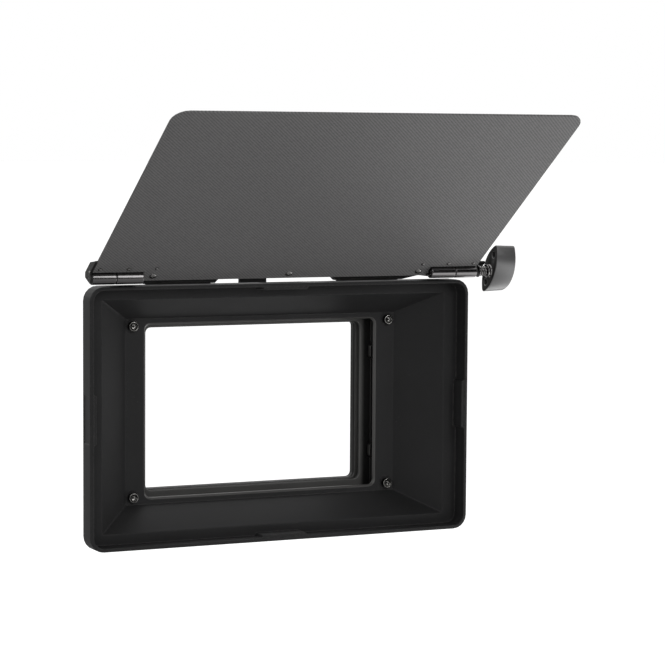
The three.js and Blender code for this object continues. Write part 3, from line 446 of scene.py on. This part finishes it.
def makeFinish(name):
    look = finishes[name]
    material = bpy.data.materials.new(name)
    material.use_nodes = True
    tree = material.node_tree
    shader = tree.nodes["Principled BSDF"]
    place = placed(tree)
    wearAndHighlight = used(tree, "wearAndHighlight", Place=place, Width=look["edge"])
    grain = used(tree, "grain", Place=place, **{"Grain Scale": look["grain"]})
    dust = used(tree, "dust", Place=place, Amount=surface["dust"])
    lower, upper = 1 - surface["clouding"], 1 + surface["clouding"]
    dark = tuple(part * lower for part in look["color"])
    light = tuple(part * upper for part in look["color"])
    base = mixed(tree, grain["Cloud"], dark, light)
    # worn edges, on some finishes partly a painted highlight
    wornAndLitEdge = mixed(tree, maths(tree, "MULTIPLY", wearAndHighlight["Mask"], look["wearAndHighlight"]), base, look["wornAndLitEdge"])
    # painted shade: the tray's face turns dark towards its sides, where the slot shades it
    if "shade" in look:
        inner, outer = look["shade"]
        sides = used(tree, "sides", Place=place, Inner=inner, Outer=outer)
        wornAndLitEdge = mixed(tree, sides["Mask"], wornAndLitEdge, look["deep"])
    dusty = mixed(tree, dust["Mask"], wornAndLitEdge, surface["dustColor"])
    tree.links.new(dusty, shader.inputs["Base Color"])
    rough = ranged(tree, grain["Cloud"], 0, 1, look["rough"] * lower, look["rough"] * upper)
    tree.links.new(rough, shader.inputs["Roughness"])
    shader.inputs["Metallic"].default_value = look["metal"]
    shader.inputs["Specular IOR Level"].default_value = look["shine"]
    shader.inputs["Coat Weight"].default_value = look.get("coat", 0.0)
    shader.inputs["Coat Roughness"].default_value = look["rough"]
    bump = tree.nodes.new("ShaderNodeBump")
    bump.inputs["Strength"].default_value = look["bump"]
    bump.inputs["Distance"].default_value = surface["grainDeep"]
    tree.links.new(grain["Height"], bump.inputs["Height"])
    tree.links.new(wearAndHighlight["Normal"], bump.inputs["Normal"])
    tree.links.new(bump.outputs[0], shader.inputs["Normal"])
    return material


weave = {
    "warp": (0.158, 0.155, 0.155),
    "weft": (0.069, 0.0675, 0.068),
    # the colour of the painted shade in the gaps between the yarns
    "yarnGapShade": (0.03, 0.03, 0.03),
    "ends": 2000.0,  # yarns per metre across the sheet
    "picks": 2050.0,  # and along it
    "yarnDeep": 0.0001,  # metres
    "rough": 0.55,
    "shine": 0.4,
    "bump": 0.5,
    "grain": 3000.0,
    "cloud": 14.0,
    "cloudColor": (0.2, 0.2, 0.2),
    "edge": 0.0003,  # metres, the width of the worn edge, which is also painted lighter as a highlight
    "wornAndLitEdge": (0.25, 0.245, 0.24),
    "wearAndHighlight": 0.6,
}


def makeWeave():
    material = bpy.data.materials.new("wovenSheet")
    material.use_nodes = True
    tree = material.node_tree
    shader = tree.nodes["Principled BSDF"]
    place = placed(tree)
    flat = tree.nodes.new("ShaderNodeMapping")
    flat.inputs["Rotation"].default_value = (math.radians(flagTilt), 0, 0)
    tree.links.new(place, flat.inputs["Vector"])
    twill = used(tree, "twill", Place=flat.outputs[0], Ends=weave["ends"], Picks=weave["picks"])
    grain = used(tree, "grain", Place=place, **{"Grain Scale": weave["grain"], "Cloud Scale": weave["cloud"]})
    wearAndHighlight = used(tree, "wearAndHighlight", Place=place, Width=weave["edge"])
    cloth = mixed(tree, twill["Line"], weave["weft"], weave["warp"])
    # painted shade in the low gaps between the yarns
    shaded = mixed(tree, ranged(tree, twill["Height"], 0.0, 1.0, 0.35, 0.0), cloth, weave["yarnGapShade"])
    cloudy = mixed(tree, ranged(tree, grain["Cloud"], 0, 1, 0.0, 0.06), shaded, weave["cloudColor"])
    # the sheet's lighter rim, partly wear and partly a painted highlight
    wornAndLitEdge = mixed(tree, maths(tree, "MULTIPLY", wearAndHighlight["Mask"], weave["wearAndHighlight"]), cloudy, weave["wornAndLitEdge"])
    tree.links.new(wornAndLitEdge, shader.inputs["Base Color"])
    rough = ranged(tree, twill["Warp"], 0, 1, weave["rough"] * 1.1, weave["rough"] * 0.9)
    tree.links.new(rough, shader.inputs["Roughness"])
    shader.inputs["Specular IOR Level"].default_value = weave["shine"]
    bump = tree.nodes.new("ShaderNodeBump")
    bump.inputs["Strength"].default_value = weave["bump"]
    bump.inputs["Distance"].default_value = weave["yarnDeep"]
    tree.links.new(twill["Height"], bump.inputs["Height"])
    tree.links.new(wearAndHighlight["Normal"], bump.inputs["Normal"])
    tree.links.new(bump.outputs[0], shader.inputs["Normal"])
    return material


materials = {name: makeFinish(name) for name in finishes}
materials["wovenSheet"] = makeWeave()
print("finishes ready:", len(materials))

slotFinish = {
    "hood_plastic": "hoodPlastic",
    "black_anodised": "blackAnodised",
    "black_steel": "blackSteel",
    "spring_steel": "springSteel",
    "dark_chrome": "darkChrome",
    "woven_sheet": "wovenSheet",
    "knob_plastic": "knobSatin",
    "tab_plastic": "tabPlastic",
}

nodeFinish = {  # nodes whose finish differs from their slot's usual one
    "filter_tray": "trayLitFront",
    "rear_stage_frame": "hingeBlack",
    "rear_plate": "hingeBlack",
    "hinge_bar": "hingeBlack",
    "clamp_spring": "coilSteel",
    "clamp_collar": "coilSteel",
    "stack_screw": "capSteel",
    "bracket_screw": "capSteel",
    "flag_rivet": "rivetSteel",
    "flag_screw": "rivetSteel",
}


def finishOf(node):
    for start, finish in nodeFinish.items():
        if node.startswith(start):
            return materials[finish]
    return materials[slotFinish[slotOf[node]]]


for name, node in frame["nodes"].items():
    node.data.materials.clear()
    node.data.materials.append(finishOf(name))


def newPiece(name, mesh, node, sharp=35.0):
    # a finished piece in the node's place: its finish, smooth faces and sharp edges, its body
    mesh.name = name
    mesh.polygons.foreach_set("use_smooth", [True] * len(mesh.polygons))
    mesh.set_sharp_from_angle(angle=math.radians(sharp))
    mesh.materials.clear()
    mesh.materials.append(finishOf(node))
    piece = bpy.data.objects.new(name, mesh)
    bpy.context.scene.collection.objects.link(piece)
    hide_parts(node)
    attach(piece, bodyOf[node])
    return piece


def meshOf(name, shape, place=Matrix()):
    bmesh.ops.recalc_face_normals(shape, faces=shape.faces)
    mesh = bpy.data.meshes.new(name)
    shape.transform(place)
    shape.to_mesh(mesh)
    shape.free()
    return mesh


def settle(piece):
    # the modifiers' result becomes the piece's own mesh
    bpy.context.view_layer.update()
    graph = bpy.context.evaluated_depsgraph_get()
    mesh = bpy.data.meshes.new_from_object(piece.evaluated_get(graph))
    piece.modifiers.clear()
    piece.data = mesh


def cutAway(piece, mesh):
    tool = bpy.data.objects.new("cutter", mesh)
    bpy.context.scene.collection.objects.link(tool)
    cut = piece.modifiers.new("cutAway", "BOOLEAN")
    cut.operation = "DIFFERENCE"
    cut.solver = "EXACT"
    cut.object = tool
    settle(piece)
    bpy.data.objects.remove(tool)


def refinish(piece, finish, chosen):
    # some of a piece's faces get a finish of their own
    piece.data.materials.append(materials[finish])
    for face in piece.data.polygons:
        if chosen(face):
            face.material_index = len(piece.data.materials) - 1


shading = {
    "broad": 0.5,  # mm2, a face larger than this decides the normals at its corners
    "near": 16.0,  # degrees, broad faces that differ less are one curved surface
    "nearNarrow": 60.0,  # and the same for narrow ones
}


def folded(edge):
    faces = edge.link_faces
    return len(faces) == 2 and faces[0].normal.dot(faces[1].normal) < -0.99


def unfold(mesh):
    # a thin triangle that the rounding turned over gets another diagonal
    shape = bmesh.new()
    shape.from_mesh(mesh)
    for attempt in range(6):
        shape.normal_update()
        longest = {}
        for edge in shape.edges:
            if folded(edge):
                thin = min(edge.link_faces, key=lambda face: face.calc_area())
                diagonal = max(thin.edges, key=lambda side: side.calc_length())
                longest[diagonal.index] = diagonal
        if not longest:
            break
        bmesh.ops.rotate_edges(shape, edges=[longest[index] for index in sorted(longest)])
        shape.edges.index_update()
    shape.to_mesh(mesh)
    shape.free()


def evenNormals(mesh):
    # broad faces stay flat and the narrow ones round off from one to the next
    around = [[] for vertex in mesh.vertices]
    for face in mesh.polygons:
        for corner in face.vertices:
            around[corner].append((face.normal.copy(), face.area))
    broad = shading["broad"] * mm * mm
    alike, alikeNarrow = math.cos(math.radians(shading["near"])), math.cos(math.radians(shading["nearNarrow"]))
    normals = []
    for face in mesh.polygons:
        least = alike if face.area > broad else alikeNarrow
        for corner in face.vertices:
            total = Vector()
            for normal, area in around[corner]:
                if area > broad and normal.dot(face.normal) > least:
                    total += normal * area
            if total.length == 0:
                total = mesh.vertices[corner].normal
            normals.append(total.normalized())
    mesh.normals_split_custom_set(normals)


def roundEdges(piece, width, steps, sharp=35.0):
    bevel = piece.modifiers.new("roundedEdges", "BEVEL")
    bevel.width = width
    bevel.segments = steps
    bevel.limit_method = "ANGLE"
    bevel.angle_limit = math.radians(sharp)
    bevel.use_clamp_overlap = False
    settle(piece)
    unfold(piece.data)
    evenNormals(piece.data)


hinge = {
    "barrel": 3.55,  # mm
    "chamfer": 0.35,
    "bore": 1.8,
}
barrelLow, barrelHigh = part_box("knuckle_flag_left")
hingeAxis = Vector((0, (barrelLow.y + barrelHigh.y) / 2, (barrelLow.z + barrelHigh.z) / 2))
flagPlace = Matrix.Translation(hingeAxis) @ Matrix.Rotation(math.radians(-flagTilt), 4, "X")
alongX = Matrix.Rotation(math.radians(90), 4, "Y")

plates = {  # node: radius of its edges in mm, steps round them
    "hood": (0.25, 3),
    "front_stage_frame": (0.25, 2),
    "rear_stage_frame": (0.25, 2),
    "rear_plate": (0.3, 2),
    "filter_tray": (0.2, 2),
    "filter_retainer": (0.06, 1),
    "pull_tab": (0.35, 3),
    "flag_sheet": (0.3, 3),
    "hinge_bar": (0.1, 2),
    "flag_bracket_left": (0.3, 2),
    "flag_bracket_right": (0.3, 2),
}
splitPlates = ("hood", "hinge_bar", "flag_sheet")  # broad faces with notches keep their form only when split

hoodPad = {  # mm, the four shallow pads on the band
    "sides": ((0, 114.35, 112.75), (2, 71.65, 70.05)),  # axis, the band's wall, the solid's pad floor
    "sink": 0.4,
    "deep": 4.2,  # half their depth
    "middle": -49.15,
}
hoodWindow = {  # mm, half its width and height with room to spare, and where its walls start
    "wide": 76.5,
    "tall": 57,
    "front": -24,
}
hingeEar = {  # mm, in the flag's own frame
    "openLow": (115.6, -16, -8),  # the right ear is open here, so the clamp's spring is seen
    "openHigh": (118.5, -2.1, 8),
    "leftStud": -116.97,  # the left ear's stud stands out past this
}


def shallowPads(shape):
    for axis, wall, floor in hoodPad["sides"]:
        for vertex in shape.verts:
            atFloor = abs(abs(vertex.co[axis]) - floor * mm) < 0.02 * mm
            if atFloor and abs(vertex.co.y - hoodPad["middle"] * mm) < hoodPad["deep"] * mm:
                vertex.co[axis] = math.copysign((wall - hoodPad["sink"]) * mm, vertex.co[axis])


def atWindow(face):
    # the walls of the opening in the hood's back
    x, y, z = face.center / mm
    inside = abs(x) < hoodWindow["wide"] and abs(z) < hoodWindow["tall"] and y > hoodWindow["front"]
    return inside and abs(face.normal.y) < 0.8


def blockMesh(low, high, place):
    shape = bmesh.new()
    middle = (Vector(low) + Vector(high)) / 2 * mm
    size = (Vector(high) - Vector(low)) * mm
    bmesh.ops.create_cube(shape, size=1, matrix=Matrix.Translation(middle) @ Matrix.Diagonal((*size, 1)))
    return meshOf("block", shape, place)


def makePlates():
    for node, (radius, steps) in plates.items():
        shape = bmesh.new()
        shape.from_mesh(frame["nodes"][node].data)
        if node == "hood":
            shallowPads(shape)
        bmesh.ops.remove_doubles(shape, verts=shape.verts, dist=0.002 * mm)
        bmesh.ops.dissolve_limit(shape, angle_limit=math.radians(0.4), verts=shape.verts, edges=shape.edges)
        if node in splitPlates:
            bmesh.ops.triangulate(shape, faces=[face for face in shape.faces if len(face.verts) > 4])
        piece = newPiece(node + "_fine", meshOf(node + "_fine", shape), node)
        if node == "hinge_bar":
            cutAway(piece, blockMesh(hingeEar["openLow"], hingeEar["openHigh"], flagPlace))
        roundEdges(piece, radius * mm, steps)
        if node == "hood":
            # painted highlight: the window's walls get the lighter colour
            refinish(piece, "windowWallHighlight", atWindow)
        # painted light and shade: the tray's front faces keep the lighter colour, its walls get the dark one
        if node == "filter_tray":
            refinish(piece, "hingeBlack", lambda face: face.normal.y > -0.6)
        if node == "hinge_bar":
            # partly a painted glint: the left ear's stud gets the brighter steel
            refinish(piece, "bareEdgeAndGlint", lambda face: face.center.x < hingeEar["leftStud"] * mm)


makePlates()
print("moulded and machined plates ready:", len(plates))


def joinRings(rings, closed=False):
    shape = bmesh.new()
    rows = [[shape.verts.new(point) for point in ring] for ring in rings]
    if closed:
        rows.append(rows[0])
    for near, far in zip(rows, rows[1:]):
        for step in range(len(near)):
            shape.faces.new((near[step - 1], near[step], far[step], far[step - 1]))
    if not closed:
        shape.faces.new(list(reversed(rows[0])))
        shape.faces.new(rows[-1])
    return shape


def circle(radius, along, steps=48):
    angles = [2 * math.pi * step / steps for step in range(steps)]
    return [(radius * math.cos(angle), radius * math.sin(angle), along) for angle in angles]


def hexagon(across, along, steps=48):
    # a hexagon with as many points as a circle has
    points = []
    for step in range(steps):
        angle = 2 * math.pi * step / steps
        off = (angle % (math.pi / 3)) - math.pi / 6
        reach = across / 2 / math.cos(off)
        points.append((reach * math.cos(angle), reach * math.sin(angle), along))
    return points


def nodeBox(node, place):
    # a node's corners in another frame
    back = place.inverted()
    points = [back @ vertex.co for vertex in frame["nodes"][node].data.vertices]
    low = Vector([min(point[axis] for point in points) for axis in range(3)])
    high = Vector([max(point[axis] for point in points) for axis in range(3)])
    return low, high


capScrew = {  # mm, from the top of the head down
    "head": 2.7,
    "edge": 0.45,
    "socket": 2.5,
    "socketEdge": 0.22,
    "socketTip": 0.25,  # the drill's cone below the socket
    "seatEdge": 0.2,
    "shank": 1.5,
    "shankEdge": 0.3,
    "stack": {"tall": 3.0, "socketDeep": 1.5},
    "bracket": {"tall": 1.5, "socketDeep": 1.0},
}


def screwRings(kind, long):
    # the head's top lies at zero and the tip points down
    head, edge, across = capScrew["head"] * mm, capScrew["edge"] * mm, capScrew["socket"] * mm
    tall, deep = capScrew[kind]["tall"] * mm, capScrew[kind]["socketDeep"] * mm
    mouth, cone, seat = capScrew["socketEdge"] * mm, capScrew["socketTip"] * mm, capScrew["seatEdge"] * mm
    shank, tip = capScrew["shank"] * mm, capScrew["shankEdge"] * mm
    rings = [hexagon(across * 0.5, -deep - cone), hexagon(across, -deep), hexagon(across, -mouth)]
    rings.append(hexagon(across + 2 * mouth, 0))
    for step in range(4):
        angle = step / 3 * math.pi / 2
        rings.append(circle(head - edge * (1 - math.sin(angle)), -edge * (1 - math.cos(angle))))
    rings += [circle(head, -tall + seat), circle(head - seat, -tall), circle(shank, -tall)]
    rings += [circle(shank, -long + tip), circle(shank - tip, -long)]
    return rings


def makeCapScrew(node, kind, long, place, edges):
    piece = newPiece(node + "_fine", meshOf(node, joinRings(screwRings(kind, long)), place), node, 28)
    # partly a painted highlight: the chamfers and the socket's mouth get the brighter steel
    refinish(piece, "bareEdgeAndGlint", edges)


def makeCapScrews():
    facing = Matrix.Rotation(math.radians(90), 4, "X")
    for level in ("lower", "upper"):
        for side in ("left", "right"):
            node = f"stack_screw_{level}_{side}"
            low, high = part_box(node)
            place = Matrix.Translation(((low.x + high.x) / 2, low.y, (low.z + high.z) / 2)) @ facing
            makeCapScrew(node, "stack", high.y - low.y, place, lambda face: 0.2 < -face.normal.y < 0.97)
    for side in ("left", "right"):
        for where in ("inner", "outer"):
            node = f"bracket_screw_{side}_{where}"
            low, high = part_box(node)
            place = Matrix.Translation(((low.x + high.x) / 2, (low.y + high.y) / 2, high.z))
            makeCapScrew(node, "bracket", high.z - low.z, place, lambda face: 0.2 < face.normal.z < 0.97)


makeCapScrews()
print("cap screws ready")


def turnedPiece(node, profile, place, closed=False, steps=64, sharp=28):
    rings = [circle(radius, along, steps) for radius, along in profile]
    return newPiece(node + "_fine", meshOf(node, joinRings(rings, closed), place), node, sharp)


def makeBarrels():
    chamfer, bore, radius = hinge["chamfer"] * mm, hinge["bore"] * mm, hinge["barrel"] * mm
    for node in ("knuckle_fixed_left", "knuckle_fixed_right", "knuckle_flag_left", "knuckle_flag_right"):
        low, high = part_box(node)
        long = high.x - low.x
        half = [(bore, 0), (radius - chamfer, 0), (radius - chamfer * 0.3, chamfer * 0.3), (radius, chamfer),
                (radius, chamfer * 1.2)]  # the last ring keeps the barrel's shading straight
        profile = half + [(size, long - along) for size, along in reversed(half)]
        turnedPiece(node, profile, Matrix.Translation((low.x, hingeAxis.y, hingeAxis.z)) @ alongX, closed=True)


flagDome = {  # mm
    "socket": 1.3,
    "socketDeep": 0.6,
    "socketTip": 0.1,
    "ringEdge": 0.12,
    "domeStart": 0.35,  # share of a quarter turn from the middle
    "tall": 1.1,
    "shank": 1.0,
}
pointsDown = Matrix.Rotation(math.radians(180), 4, "X")  # the heads lie on the sheet's underside


def underSheet(node):
    # the middle of a head's top on the sheet's underside, its radius and its length
    low, high = nodeBox(node, flagPlace)
    place = flagPlace @ Matrix.Translation(((low.x + high.x) / 2, (low.y + high.y) / 2, low.z)) @ pointsDown
    return place, (high.x - low.x) / 2, high.z - low.z


def makeFlagScrews():
    across, deep, lip = flagDome["socket"] * mm, flagDome["socketDeep"] * mm, flagDome["ringEdge"] * mm
    cone, tall, shank = flagDome["socketTip"] * mm, flagDome["tall"] * mm, flagDome["shank"] * mm
    start = flagDome["domeStart"]
    for where in ("left", "middle", "right"):
        node = f"flag_screw_{where}"
        place, radius, long = underSheet(node)
        rings = [hexagon(across * 0.5, -deep - cone), hexagon(across, -deep), hexagon(across, -lip)]
        rings.append(hexagon(across + lip, -lip * 0.4))
        for step in range(1, 9):
            angle = (start + (1 - start) * step / 8) * math.pi / 2
            rings.append(circle(radius * math.sin(angle), -tall * (1 - math.cos(angle))))
        rings += [circle(shank, -tall), circle(shank, -long)]
        newPiece(node + "_fine", meshOf(node, joinRings(rings), place), node, 30)


flagRivet = {  # mm
    "head": 1.2,
    "dome": 0.75,  # radius of the raised middle
    "domeRise": 0.45,
    "rimEdge": 0.1,
    "rimTop": 0.48,  # below the dome's top, as the next
    "rimSide": 0.528,
    "rise": 0.6,
    "shank": 1.0,
    "tail": 0.3,
}


def makeRivets():
    head, dome, rise = flagRivet["head"] * mm, flagRivet["dome"] * mm, flagRivet["rise"] * mm
    domeRise, edge, top = flagRivet["domeRise"] * mm, flagRivet["rimEdge"] * mm, flagRivet["rimTop"] * mm
    rim, shank, tail = flagRivet["rimSide"] * mm, flagRivet["shank"] * mm, flagRivet["tail"] * mm
    for side in ("left", "right"):
        for count in (1, 2, 3):
            node = f"flag_rivet_{side}_{count}"
            place, radius, long = underSheet(node)
            profile = []
            for step in range(1, 8):
                angle = step / 8 * math.pi / 2
                profile.append((dome * math.sin(angle), -domeRise * (1 - math.cos(angle))))
            profile += [(dome, -domeRise), (head - edge, -top), (head, -rim), (head, -rise),
                        (shank, -rise), (shank, -long + tail), (radius, -long + tail),
                        (radius * 0.8, -long + tail * 0.3), (radius * 0.5, -long)]
            turnedPiece(node, profile, place, steps=32, sharp=30)


makeBarrels()
makeFlagScrews()
makeRivets()
print("hinge barrels, rivets and domed screws ready")

clampStack = {
    "wire": 0.4,  # mm
    "coilRadius": 2.5,
    "turns": 3,
    "stepsPerTurn": 36,
    "wireSides": 10,
    "collarEdge": 0.25,
    "collarBore": 1.6,
    "groove": 0.5,
    "washerEdge": 0.15,
    "washerBore": 1.65,
}


def makeClampSpring():
    low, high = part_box("clamp_spring")
    wire, radius = clampStack["wire"] * mm, clampStack["coilRadius"] * mm
    start, end = low.x + wire, high.x - wire
    count = clampStack["turns"] * clampStack["stepsPerTurn"]
    rings = []
    for step in range(count + 1):
        share = step / count
        angle = share * clampStack["turns"] * 2 * math.pi
        outward = Vector((0, math.cos(angle), math.sin(angle)))
        middle = Vector((start + share * (end - start), hingeAxis.y, hingeAxis.z)) + outward * radius
        ring = []
        for corner in range(clampStack["wireSides"]):
            turn = corner / clampStack["wireSides"] * 2 * math.pi
            ring.append(middle + outward * wire * math.cos(turn) + Vector((wire * math.sin(turn), 0, 0)))
        rings.append(ring)
    newPiece("clamp_spring_fine", meshOf("clamp_spring", joinRings(rings)), "clamp_spring", 60)


def makeCollar():
    edge = clampStack["collarEdge"] * mm
    low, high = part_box("clamp_collar")
    radius, long = (high.z - low.z) / 2, high.x - low.x
    waist, inner, third = radius - clampStack["groove"] * mm, clampStack["collarBore"] * mm, long / 3
    profile = [(inner, 0), (radius - edge, 0), (radius, edge), (radius, third - edge), (radius - edge, third),
               (waist, third + edge), (waist, long - third - edge), (radius - edge, long - third),
               (radius, long - third + edge), (radius, long - edge), (radius - edge, long), (inner, long)]
    turnedPiece("clamp_collar", profile, Matrix.Translation((low.x, hingeAxis.y, hingeAxis.z)) @ alongX, closed=True)


def makeWasher():
    edge, inner = clampStack["washerEdge"] * mm, clampStack["washerBore"] * mm
    low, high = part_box("clamp_washer")
    radius, long = (high.z - low.z) / 2, high.x - low.x
    profile = [(inner, 0), (radius - edge, 0), (radius, edge)]
    profile += [(radius, long - edge), (radius - edge, long), (inner, long)]
    turnedPiece("clamp_washer", profile, Matrix.Translation((low.x, hingeAxis.y, hingeAxis.z)) @ alongX, closed=True)


makeClampSpring()
makeCollar()
makeWasher()
print("clamp spring, collar and washer ready")

wingKnob = {  # mm; the outline is two shallow arcs with rounded tips, larger across at its far face
    "nearLong": 30.8,
    "farLong": 29.8,
    "nearBroad": 13.0,
    "farBroad": 16.0,
    "tip": 1.8,
    "tilt": 30.5,  # degrees
    "rise": 1.3,
    "edge": 0.5,
    "nearer": 0.75,  # its near face stands this far round the collar
    "dimple": 1.8,
    "dimpleOut": 9.2,
    "dimpleDeep": 1.5,
    "dimpleLip": 0.3,
    "bore": 1.6,
    "boreDeep": 7.0,
    "boreLip": 0.25,
    "edgeSteps": 8,
}


def knobOutline(long, broad, inset):
    tip = (wingKnob["tip"] - inset) * mm
    half = broad / 2 * mm - inset * mm
    tipOut = (long / 2 - wingKnob["tip"]) * mm
    arc = (half ** 2 + tipOut ** 2 - tip ** 2) / (2 * (half - tip))
    sweep = math.atan2(tipOut, arc - half)
    quarter = []
    for step in range(18):
        angle = sweep * step / 18
        quarter.append((arc * math.cos(angle) - arc + half, arc * math.sin(angle)))
    for step in range(8):
        angle = sweep + (math.pi / 2 - sweep) * step / 8
        quarter.append((tip * math.cos(angle), tipOut + tip * math.sin(angle)))
    upper = quarter + [(0, tipOut + tip)] + [(-x, y) for x, y in reversed(quarter[1:])]
    both = upper + [(-x, -y) for x, y in upper]
    tilt = math.radians(wingKnob["tilt"])
    return [(x * math.cos(tilt) - y * math.sin(tilt), x * math.sin(tilt) + y * math.cos(tilt) + wingKnob["rise"] * mm)
            for x, y in both]


def knobEdge(face, inward, long, broad):
    # the rings of one face's rounded edge, from its side to the face itself
    rings = []
    for step in range(wingKnob["edgeSteps"] + 1):
        angle = step / wingKnob["edgeSteps"] * math.pi / 2
        x = face + inward * wingKnob["edge"] * mm * (1 - math.sin(angle))
        outline = knobOutline(long, broad, wingKnob["edge"] * (1 - math.cos(angle)))
        rings.append([(x, hingeAxis.y + y, hingeAxis.z + z) for y, z in outline])
    return rings


def drill(piece, hole, place):
    # a round hole along X with a chamfered mouth
    radius, deep, lip = wingKnob[hole] * mm, wingKnob[hole + "Deep"] * mm, wingKnob[hole + "Lip"] * mm
    profile = [(radius + lip * 4, -lip * 3), (radius + lip, 0), (radius, lip), (radius, deep)]
    rings = [circle(size, along, 40) for size, along in profile]
    cutAway(piece, meshOf("drill", joinRings(rings), Matrix.Translation(place) @ alongX))


def makeKnob():
    low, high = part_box("clamp_knob")
    low.x -= wingKnob["nearer"] * mm
    rings = list(reversed(knobEdge(low.x, 1, wingKnob["nearLong"], wingKnob["nearBroad"])))
    rings += knobEdge(high.x, -1, wingKnob["farLong"], wingKnob["farBroad"])
    piece = newPiece("clamp_knob_fine", meshOf("clamp_knob", joinRings(rings)), "clamp_knob", 40)
    tilt = math.radians(wingKnob["tilt"])
    for side in (-1, 1):
        out = side * wingKnob["dimpleOut"] * mm
        place = (low.x, hingeAxis.y - out * math.sin(tilt), hingeAxis.z + out * math.cos(tilt) + wingKnob["rise"] * mm)
        drill(piece, "dimple", place)
    drill(piece, "bore", (low.x, hingeAxis.y, hingeAxis.z))
    # painted shade on the knob's near face
    refinish(piece, "knobNearFaceShade", lambda face: face.normal.x < -0.85)


makeKnob()
print("wing knob ready")

leafSpring = {  # mm
    "thick": 0.5,
    "bow": 4.6,
    "flat": 5.2,
    "slope": 4.2,
    "foot": 3.0,
    "edge": 0.1,
    "steps": 40,
}


def leafLine(bow):
    # how far the strip stands in from its seat, along its length
    flat, slope = leafSpring["flat"] / 2, leafSpring["slope"]
    total = flat + slope + leafSpring["foot"]
    line = []
    for step in range(leafSpring["steps"] + 1):
        z = -total + 2 * total * step / leafSpring["steps"]
        rise = min(max((flat + slope - abs(z)) / slope, 0), 1)
        line.append((bow * rise * rise * (3 - 2 * rise), z))
    return line


def makeLeafSprings():
    for stage, bow in (("front", leafSpring["bow"]), ("rear", 0)):
        for level in ("lower", "upper"):
            for side in ("left", "right"):
                node = f"leaf_spring_{stage}_{level}_{side}"
                low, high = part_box(node)
                sign = -1 if side == "left" else 1
                seat = high.x if sign > 0 else low.x
                middle = (low.z + high.z) / 2
                rings = []
                for out, along in leafLine(bow):
                    outer, z = seat - sign * out * mm, middle + along * mm
                    inner = outer - sign * leafSpring["thick"] * mm
                    rings.append([(outer, low.y, z), (inner, low.y, z), (inner, high.y, z), (outer, high.y, z)])
                piece = newPiece(node + "_fine", meshOf(node, joinRings(rings)), node)
                roundEdges(piece, leafSpring["edge"] * mm, 2, 60)


makeLeafSprings()
print("leaf springs ready")
